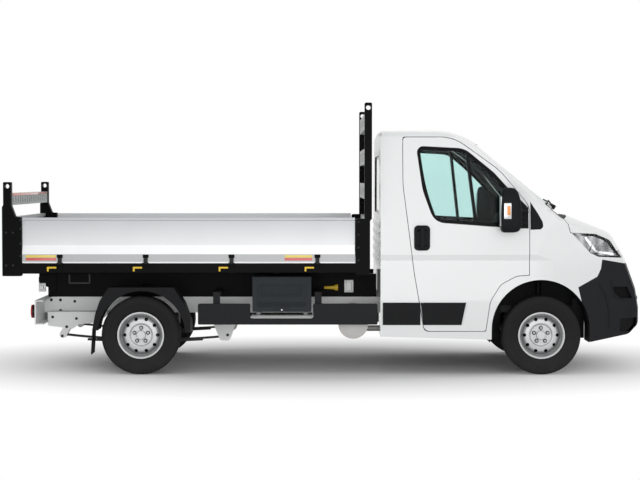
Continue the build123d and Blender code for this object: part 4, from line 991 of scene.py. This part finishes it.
# %% [markdown]
# ## Headlamps
# Behind each clear lens lies a silvered housing. It follows the lens, so it starts as a copy of the lens, merged, drawn
# inwards and made a little smaller. Its finish is dark metal with upright facets, painted with light and dark stripes
# as painted reflection, and a bright light guide runs down its back edge and along its foot.

# %% Silvered lamp housings
LIGHT_GUIDE = [(2.440, 1.302), (2.545, 1.166), (2.720, 1.142)]
GUIDE_HALF = 0.010


def band(place, first, last, half):
    """1 within a straight band in side view."""
    (x0, z0), (x1, z1) = first, last
    length = math.hypot(x1 - x0, z1 - z0)
    x, z = (z0 - z1) * half / length, (x1 - x0) * half / length
    corners = [(x0 + x, z0 + z), (x1 + x, z1 + z), (x1 - x, z1 - z), (x0 - x, z0 - z)]
    return inside_of(axis(place, 0), axis(place, 2), corners, 0.001) > 0


def silvered(name, dark, pale):
    material, shader, place = start(name, Metallic=0.9, Coat_Weight=0.3)
    facets = waves(place, "X", 3.2, 1.2)
    shade = noise(place, 9, 3)
    # painted reflection: light and dark stripes and patches over the facets
    base = tint((facets * 0.7 + shade * 0.3).held(), (dark, dark, dark * 1.02), (pale, pale, pale * 1.02))
    back, foot = [band(place, *ends, GUIDE_HALF) for ends in zip(LIGHT_GUIDE, LIGHT_GUIDE[1:])]
    base = tint((back + foot).held(), base, (0.90, 0.90, 0.91))
    return finished(material, shader, base, 0.16 + shade * 0.12, facets, 0.15, 0.004)


FINISH["lamp_silver"] = silvered("lamp_silver", 0.12, 0.40)
FINISH["indicator_silver"] = silvered("indicator_silver", 0.42, 0.80)


def lamp_housing(way):
    piece = copied("headlamps")
    choose(piece, "vertices", lambda middle, point: middle.y * way < 0)
    bpy.ops.mesh.delete(type="VERT")
    bpy.ops.mesh.select_all(action="SELECT")
    bpy.ops.transform.resize(value=(0.90, 0.90, 0.84), center_override=(2.56, way * 0.80, 1.225))
    bpy.ops.transform.translate(value=(-0.016, -way * 0.014, -0.002))
    object_mode()
    return piece


for side, way in SIDES:
    dressed(lamp_housing(way), f"lamp_housing_{side}", "lamp_silver", "chassis")
print("lamp housings behind the lenses")

# %% [markdown]
# ## Bumper beads
# The bumper is stiffened by pressed beads: one runs down beside the air pocket and around the nose, and one follows the
# wheel arch. A bead could be cut into the bumper, but a chain of thin rods half sunk in its face gives the same
# line of light. Rays cast at the bumper find the face, from the side near the pocket and towards the middle elsewhere.

# %% Beads around the nose and the arches
def bumper_face(turn, z):
    """The bumper's outside, seen from the middle of the cab at an angle from straight ahead."""
    way = Vector((math.cos(turn), math.sin(turn), 0))
    _, place, _, _ = nodes["front_bumper"].ray_cast(Vector((2.2, 0, z)) + way * 3, -way)
    return place


NOSE_BEAD_Z = 0.712
BEAD_R = 0.0080
POCKET_BEAD = [(2.681, 0.898), (2.694, 0.848), (2.703, 0.806), (2.716, 0.764), (2.730, 0.738)]
ARCH_BEAD = [(2.563, 0.866), (2.588, 0.832), (2.611, 0.795), (2.633, 0.750), (2.649, 0.700), (2.661, 0.645),
             (2.668, 0.590), (2.673, 0.520), (2.675, 0.449)]


def side_line(rows, way):
    return [Vector((x, outer_face("front_bumper", x, z, way), z)) for x, z in rows]


around = [bumper_face(math.radians(turn), NOSE_BEAD_Z) for turn in range(-58, 59, 4)]
chains = [side_line(POCKET_BEAD, -1) + around + side_line(POCKET_BEAD, 1)[::-1]]
chains += [side_line(ARCH_BEAD, -1), side_line(ARCH_BEAD, 1)]
beads = [rod(a, b, BEAD_R, 12) for chain in chains for a, b in zip(chain, chain[1:])]
dressed(joined(beads), "bumper_beads", "bumper_grey", "chassis")
print(len(beads), "lengths of bead")

# %% [markdown]
# ## Wheel-arch shields
# Inside the front arches a black shield closes the space between the wheel and the engine. It is one thin plate in
# front of the wheel and one behind, outside the sweep of the steered tyre.

# %% Shields beside the front wheels
SHIELD_X = ((2.372, 2.486), (1.552, 1.676))
shields = [side_slab(way, along, (0.640, 0.646), (0.315, 0.700), 0.002) for side, way in SIDES for along in SHIELD_X]
dressed(joined(shields), "arch_shields", "dark_plastic", "chassis")
print(len(shields), "shields")

# %% [markdown]
# ## Engine cover
# The raised bonnet shows the top of the engine. A ribbed plastic cover lies on it: a rounded block whose top is inset
# and pushed in, with plain bars along it. A filler cap stands at its corner, turned from a rod with few sides.

# %% Cover, ribs and filler cap
ENGINE_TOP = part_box("engine_block")[1][2]


CAP_X, CAP_Y = 2.560, 0.195


def cap_ring(low, high, *shape):
    return rod((CAP_X, CAP_Y, ENGINE_TOP + low), (CAP_X, CAP_Y, ENGINE_TOP + high), *shape)


cover = [panelled(slab((2.290, -0.290, ENGINE_TOP - 0.002), (2.660, 0.290, ENGINE_TOP + 0.034), 0.012),
                  lambda middle, face: middle.z > ENGINE_TOP + 0.033 and face.area > 0.05, 0.022, 0.006, -0.014)]
for step in range(5):
    y = -0.20 + step * 0.07
    cover.append(slab((2.335, y - 0.011, ENGINE_TOP + 0.016), (2.615, y + 0.011, ENGINE_TOP + 0.029), 0.004))
dressed(joined(cover), "engine_cover", "cabin_plastic", "chassis")
cap = [cap_ring(0.016, 0.036, 0.040, 32), cap_ring(0.030, 0.052, 0.031, 10, 0.004)]
dressed(joined(cap), "filler_cap", "signal_yellow", "chassis")
_, above, _, _ = nodes["bonnet"].ray_cast(Vector((2.650, 0.0, ENGINE_TOP)), Vector((0, 0, 1)))
print("room over the engine's front edge", round(above.z - ENGINE_TOP, 3))

# %% [markdown]
# ## Wipers
# Two wiper blades rest at the foot of the windscreen. The glass is curved, so rays cast from the front find points on
# it, and each blade is a chain of short rods laid a little above those points, with an arm down to its pivot.

# %% Blades and arms on the glass
def on_screen(y, z, lift):
    _, place, normal, _ = nodes["windscreen"].ray_cast(Vector((4, y, z)), Vector((-1, 0, 0)))
    return place + normal * lift


WIPER_PIVOT_Z = 1.566


def wiper(y0, y1, z0, z1):
    steps = 9
    line = [on_screen(y0 + (y1 - y0) * step / steps, z0 + (z1 - z0) * step / steps, 0.012)
            for step in range(steps + 1)]
    parts = [rod(a, b, 0.007, 10) for a, b in zip(line, line[1:])]
    elbow = on_screen(y0 + (y1 - y0) * 0.45, z0 + (z1 - z0) * 0.45, 0.026)
    pivot = on_screen(y0 + 0.03, WIPER_PIVOT_Z, 0.022)
    parts.append(rod(pivot, elbow, 0.008, 12))
    parts.append(rod(pivot - Vector((0.01, 0, 0.015)), pivot + Vector((0.012, 0, 0.018)), 0.016, 16))
    return parts


blades = joined(wiper(-0.66, -0.04, 1.610, 1.640) + wiper(0.02, 0.62, 1.605, 1.635))
dressed(blades, "wipers", "dark_plastic", "chassis")
print("wipers reach X", round(max(point.co.x for point in blades.data.vertices), 3))

# %% [markdown]
# ## Brake shields
# Behind the vents of a steel wheel one sees the dark brake. A flat ring closes that view: a filled circle is inset, its
# middle is deleted, and a Solidify modifier gives the ring its thickness.

# %% One ring in each wheel
RING_R = 0.181
RING_WIDTH = 0.033
RING_IN = 0.040


def brake_ring(axle_x, y):
    nothing_selected()
    bpy.ops.mesh.primitive_circle_add(vertices=64, radius=RING_R, fill_type="NGON", location=(axle_x, y, TYRE_R),
                                      rotation=(math.pi / 2, 0, 0))
    piece = bpy.context.object
    settle(piece)
    bpy.ops.object.mode_set(mode="EDIT")
    bpy.ops.mesh.select_all(action="SELECT")
    bpy.ops.mesh.inset(thickness=RING_WIDTH, depth=0.0)
    bpy.ops.mesh.delete(type="FACE")
    object_mode()
    return modified(piece, "SOLIDIFY", thickness=0.004, offset=0)


for wheel, way, axle_x, reach in WHEELS:
    ring = brake_ring(axle_x, way * (reach - RING_IN))
    dressed(ring, f"brake_ring_{wheel}", "black_steel", f"wheel_{wheel}")
print("four brake rings")

# %% [markdown]
# ## Door trim and mirrors
# The solids hold the handle, moulding, window bar and mirror of a door as one trim. The real mirror is rounder than a
# solid block: narrow at the top and full at the foot. So the trim is copied and merged, its mirror is cut away, and a
# new mirror is shaped from a cube: its upright edges are subdivided into rings, each ring is resized, and a Subdivision
# Surface modifier rounds the whole. The moulding of the trim ends in a slant, so its lower corner is moved back.

# %% The trim without its mirror
def door_trim(side, way):
    piece = copied(f"door_{side}_fittings")
    choose(piece, "vertices", lambda middle, point: middle.x > 1.55 and middle.z > 1.34 and middle.y * way > 1.036)
    bpy.ops.mesh.delete(type="VERT")
    return shifted(piece, lambda place: place.x > 1.27 and place.z < 0.52, (-0.040, 0, 0))


for side, way in SIDES:
    trim = dressed(door_trim(side, way), f"door_trim_{side}", "dark_plastic", f"door_{side}", angle=20)
    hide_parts(f"door_{side}_fittings")
print("trims copied")

# %% A rounded mirror on two arms
MIRROR_FOOT_Z = 1.352
MIRROR_TALL = 0.424
MIRROR_Y = 1.150
MIRROR_LEVELS = [(0.00, 0.58), (0.035, 0.82), (0.13, 0.98), (0.35, 1.0), (0.62, 0.96), (0.84, 0.83), (0.955, 0.64),
                 (1.00, 0.42)]


def mirror(way):
    nothing_selected()
    bpy.ops.mesh.primitive_cube_add(size=1, location=(1.712, way * MIRROR_Y, MIRROR_FOOT_Z + MIRROR_TALL / 2),
                                    scale=(0.204, 0.180, MIRROR_TALL))
    piece = bpy.context.object
    settle(piece)
    choose(piece, "edges", lambda middle, edge: abs(middle.z - MIRROR_FOOT_Z - MIRROR_TALL / 2) < 0.01)
    bpy.ops.mesh.subdivide(number_cuts=len(MIRROR_LEVELS) - 2)
    object_mode()
    gap = 1 / (len(MIRROR_LEVELS) - 1)
    heights = [MIRROR_FOOT_Z + MIRROR_TALL * gap * level for level in range(len(MIRROR_LEVELS))]
    rings = [[point.index for point in piece.data.vertices if abs(point.co.z - z) < 0.01] for z in heights]
    for ring, z, (share, size) in zip(rings, heights, MIRROR_LEVELS):
        choose(piece, "vertices", lambda middle, point: point.index in ring)
        bpy.ops.transform.translate(value=(0, 0, MIRROR_FOOT_Z + MIRROR_TALL * share - z))
        bpy.ops.transform.resize(value=(size, size, 1), center_override=(1.670, way * MIRROR_Y, z))
        object_mode()
    points = piece.data.vertices
    choose(piece, "edges", lambda middle, edge: abs(points[edge.vertices[0]].co.z
                                                    - points[edge.vertices[1]].co.z) > 0.008)
    bpy.ops.mesh.bevel(offset=0.030, segments=2, affect="EDGES")
    object_mode()
    modified(piece, "SUBSURF", levels=2, render_levels=2)
    arms = [rod((1.760, way * 1.120, z + 0.015), (1.868, way * 1.010, z), 0.022, 24) for z in (1.440, 1.545)]
    return joined([piece] + arms)


for side, way in SIDES:
    dressed(mirror(way), f"mirror_{side}", "dark_plastic", f"door_{side}", angle=50)
print("mirrors shaped")

# %% The foot that carries the mirror
def mirror_foot(side, way):
    low_y, high_y = [outer_face(f"door_{side}_panel", 1.875, z, way) for z in (1.40, 1.60)]
    lean = (high_y - low_y) / 0.2
    piece = side_slab(way, (1.790, 1.896), (way * low_y - 0.002, way * low_y + 0.005), (1.388, 1.690), 0.002)
    shifted(piece, lambda place: place.z > 1.5, (0, lean * 0.302, 0))
    return shifted(piece, lambda place: place.z > 1.5 and place.x > 1.85, (0, lean * -0.105, -0.105))


for side, way in SIDES:
    dressed(mirror_foot(side, way), f"mirror_foot_{side}", "dark_plastic", f"door_{side}")
print("mirror feet on the doors")

# %% Mirror glass and indicators
def orange_core(name):
    material, shader, place = start(name, Coat_Weight=0.8)
    flutes = waves(place, "Z", 90)
    base = tint(flutes * 0.6, (0.80, 0.22, 0.01), (0.90, 0.36, 0.02))
    return finished(material, shader, base, 0.2 + noise(place, 30) * 0.1, flutes, 0.2)


def mirror_glass(way):
    piece = side_slab(way, (1.6085, 1.6185), (1.098, 1.202), (1.415, 1.690), 0.001)
    return shifted(piece, lambda place: place.z > 1.6, (0.0040, 0, 0))


FINISH["orange_core"] = orange_core("orange_core")
for side, way in SIDES:
    dressed(mirror_glass(way), f"mirror_glass_{side}", "bright_steel", f"door_{side}")
    lens = side_slab(way, (1.638, 1.708), (1.230, 1.2435), (1.482, 1.632), 0.008)
    dressed(lens, f"indicator_lens_{side}", "indicator_silver", f"door_{side}")
    core = side_slab(way, (1.666, 1.700), (1.235, 1.2455), (1.518, 1.606), 0.006)
    dressed(core, f"indicator_core_{side}", "orange_core", f"door_{side}")
print("mirrors finished")

# %% [markdown]
# ## Moulding ends
# The black moulding along the door runs on to the leaning rear edge of the door. A small block fills that corner, and
# its upper vertices are moved back to follow the edge and out to follow the bulge of the door.

# %% Corners that follow the door edge
def moulding_end(way):
    piece = side_slab(way, (0.904, 0.914), (1.002, 1.0135), (0.474, 0.684), 0.002)
    shifted(piece, lambda place: place.z > 0.6, (0, way * 0.0100, 0))
    return shifted(piece, lambda place: place.z > 0.6 and place.x < 0.909, (-0.024, 0, 0))


for side, way in SIDES:
    dressed(moulding_end(way), f"moulding_end_{side}", "dark_plastic", f"door_{side}")
print("moulding ends made")

# %% [markdown]
# ## Bolts on the posts
# The corner posts are bolted plates. A row of small heads runs down the inner edge of each rear post, and a few more
# hold its foot. They are the same hexagon heads as on the frame, only smaller.

# %% Heads on the rear and front posts
POST_BOLTS = [(-2.893, 1.470), (-2.893, 1.385), (-2.893, 1.245), (-2.893, 1.130), (-3.030, 1.040), (-2.965, 1.040),
              (-3.030, 1.350), (-2.965, 1.350), (0.290, 1.450), (0.290, 1.330), (0.290, 1.210), (0.290, 1.090)]


def post_bolts(way):
    heads = []
    for x, z in POST_BOLTS:
        y = outer_face("bed_posts", x, z, way)
        if y is not None and abs(y) > 0.98:
            heads += bolt((x, y, z), way, radius=0.007, height=0.005, seat=0.010)
    return heads


heads = post_bolts(-1) + post_bolts(1)
dressed(joined(heads), "post_bolts", "spring_steel", "bed")
print(len(heads) // 2, "bolts on the posts")

# %% [markdown]
# ## Folding step
# A small folding step of round bar hangs below the bed rail near the rear on each side. Three rods make each frame,
# and both frames are joined into one piece.

# %% Step under the rail
STEP_FRAME = [(-2.440, 0.955), (-2.440, 0.872), (-2.250, 0.872), (-2.250, 0.955)]


def folding_step(way):
    corners = [(x, way * 1.012, z) for x, z in STEP_FRAME]
    return [rod(a, b, 0.008, 14) for a, b in zip(corners, corners[1:])]


steps = folding_step(-1) + folding_step(1)
dressed(joined(steps), "folding_steps", "spring_steel", "bed")
print(len(steps), "bars in the steps")

# %% [markdown]
# ## Studio
# The truck stands on a pale floor in soft light. A wide lamp at the side and a weak one overhead give the side its even
# brightness, a low strip of light reaches the chassis under the bed, and the sky fills the rest. The floor fades into
# the white background a few metres away, so that no horizon shows while the shadow under the truck stays.

# %% White surroundings
def in_view(tree):
    """1 for rays that reach the viewer straight, by a mirror or through glass."""
    path = tree.nodes.new("ShaderNodeLightPath")
    seen = Wire(tree, path.outputs["Is Camera Ray"]) + Wire(tree, path.outputs["Is Glossy Ray"])
    return (seen + Wire(tree, path.outputs["Is Transmission Ray"])).held()


def white_sky():
    world = bpy.data.worlds.new("white_studio")
    bpy.context.scene.world = world
    world.use_nodes = True
    tree = world.node_tree
    light = tree.nodes["Background"]
    light.inputs["Color"].default_value = (1, 1, 1, 1)
    tree.links.new((0.55 + in_view(tree) * 0.45).socket, light.inputs["Strength"])


white_sky()
bpy.context.scene.view_settings.view_transform = "Standard"
print("the sky is white")

# %% The floor and its fade
FADE_FROM, FADE_OVER = 1.3, 1.5


def pale_floor():
    nothing_selected()
    bpy.ops.mesh.primitive_circle_add(vertices=96, radius=40, fill_type="NGON")
    floor = bpy.context.object
    floor.name = "studio_floor"
    material, shader, place = start("floor_white", Roughness=0.9, Specular_IOR_Level=0.0)
    tree = material.node_tree
    shader.inputs["Base Color"].default_value = (0.88, 0.88, 0.88, 1)
    away = place.node("VectorMath", {"operation": "LENGTH"}, {0: stretched(place, (0.62, 1, 1))}, 1)
    fade = ((away - FADE_FROM) / FADE_OVER).held()
    white = place.node("Emission", {}, {"Color": (1, 1, 1, 1), "Strength": 1.0})
    body = Wire(tree, shader.outputs["BSDF"])
    mixed = place.node("MixShader", {}, {0: in_view(tree) * fade, 1: body, 2: white})
    tree.links.new(mixed.socket, tree.nodes["Material Output"].inputs["Surface"])
    floor.data.materials.append(material)


pale_floor()
print("the floor fades to white over", FADE_OVER, "m")

# %% Soft lamps
def soft_lamp(name, place, aim, width, height, power):
    turn = (Vector(aim) - Vector(place)).to_track_quat("-Z", "Y").to_euler()
    bpy.ops.object.light_add(type="AREA", location=place, rotation=turn)
    lamp = bpy.context.object
    lamp.name = name
    lamp.data.shape = "RECTANGLE"
    lamp.data.size = width
    lamp.data.size_y = height
    lamp.data.energy = power


soft_lamp("overhead", (0.0, -1.5, 7.0), (0, 0, 0), 9, 5, 50)
soft_lamp("side_fill", (1.0, -9.0, 2.6), (0, 0, 0.9), 9, 4, 185)
soft_lamp("low_fill", (-0.8, -6.0, 0.5), (-0.8, 0, 0.7), 7, 0.8, 38)
print("three soft lamps")

# %% The end of the scene
print("the scene is built")
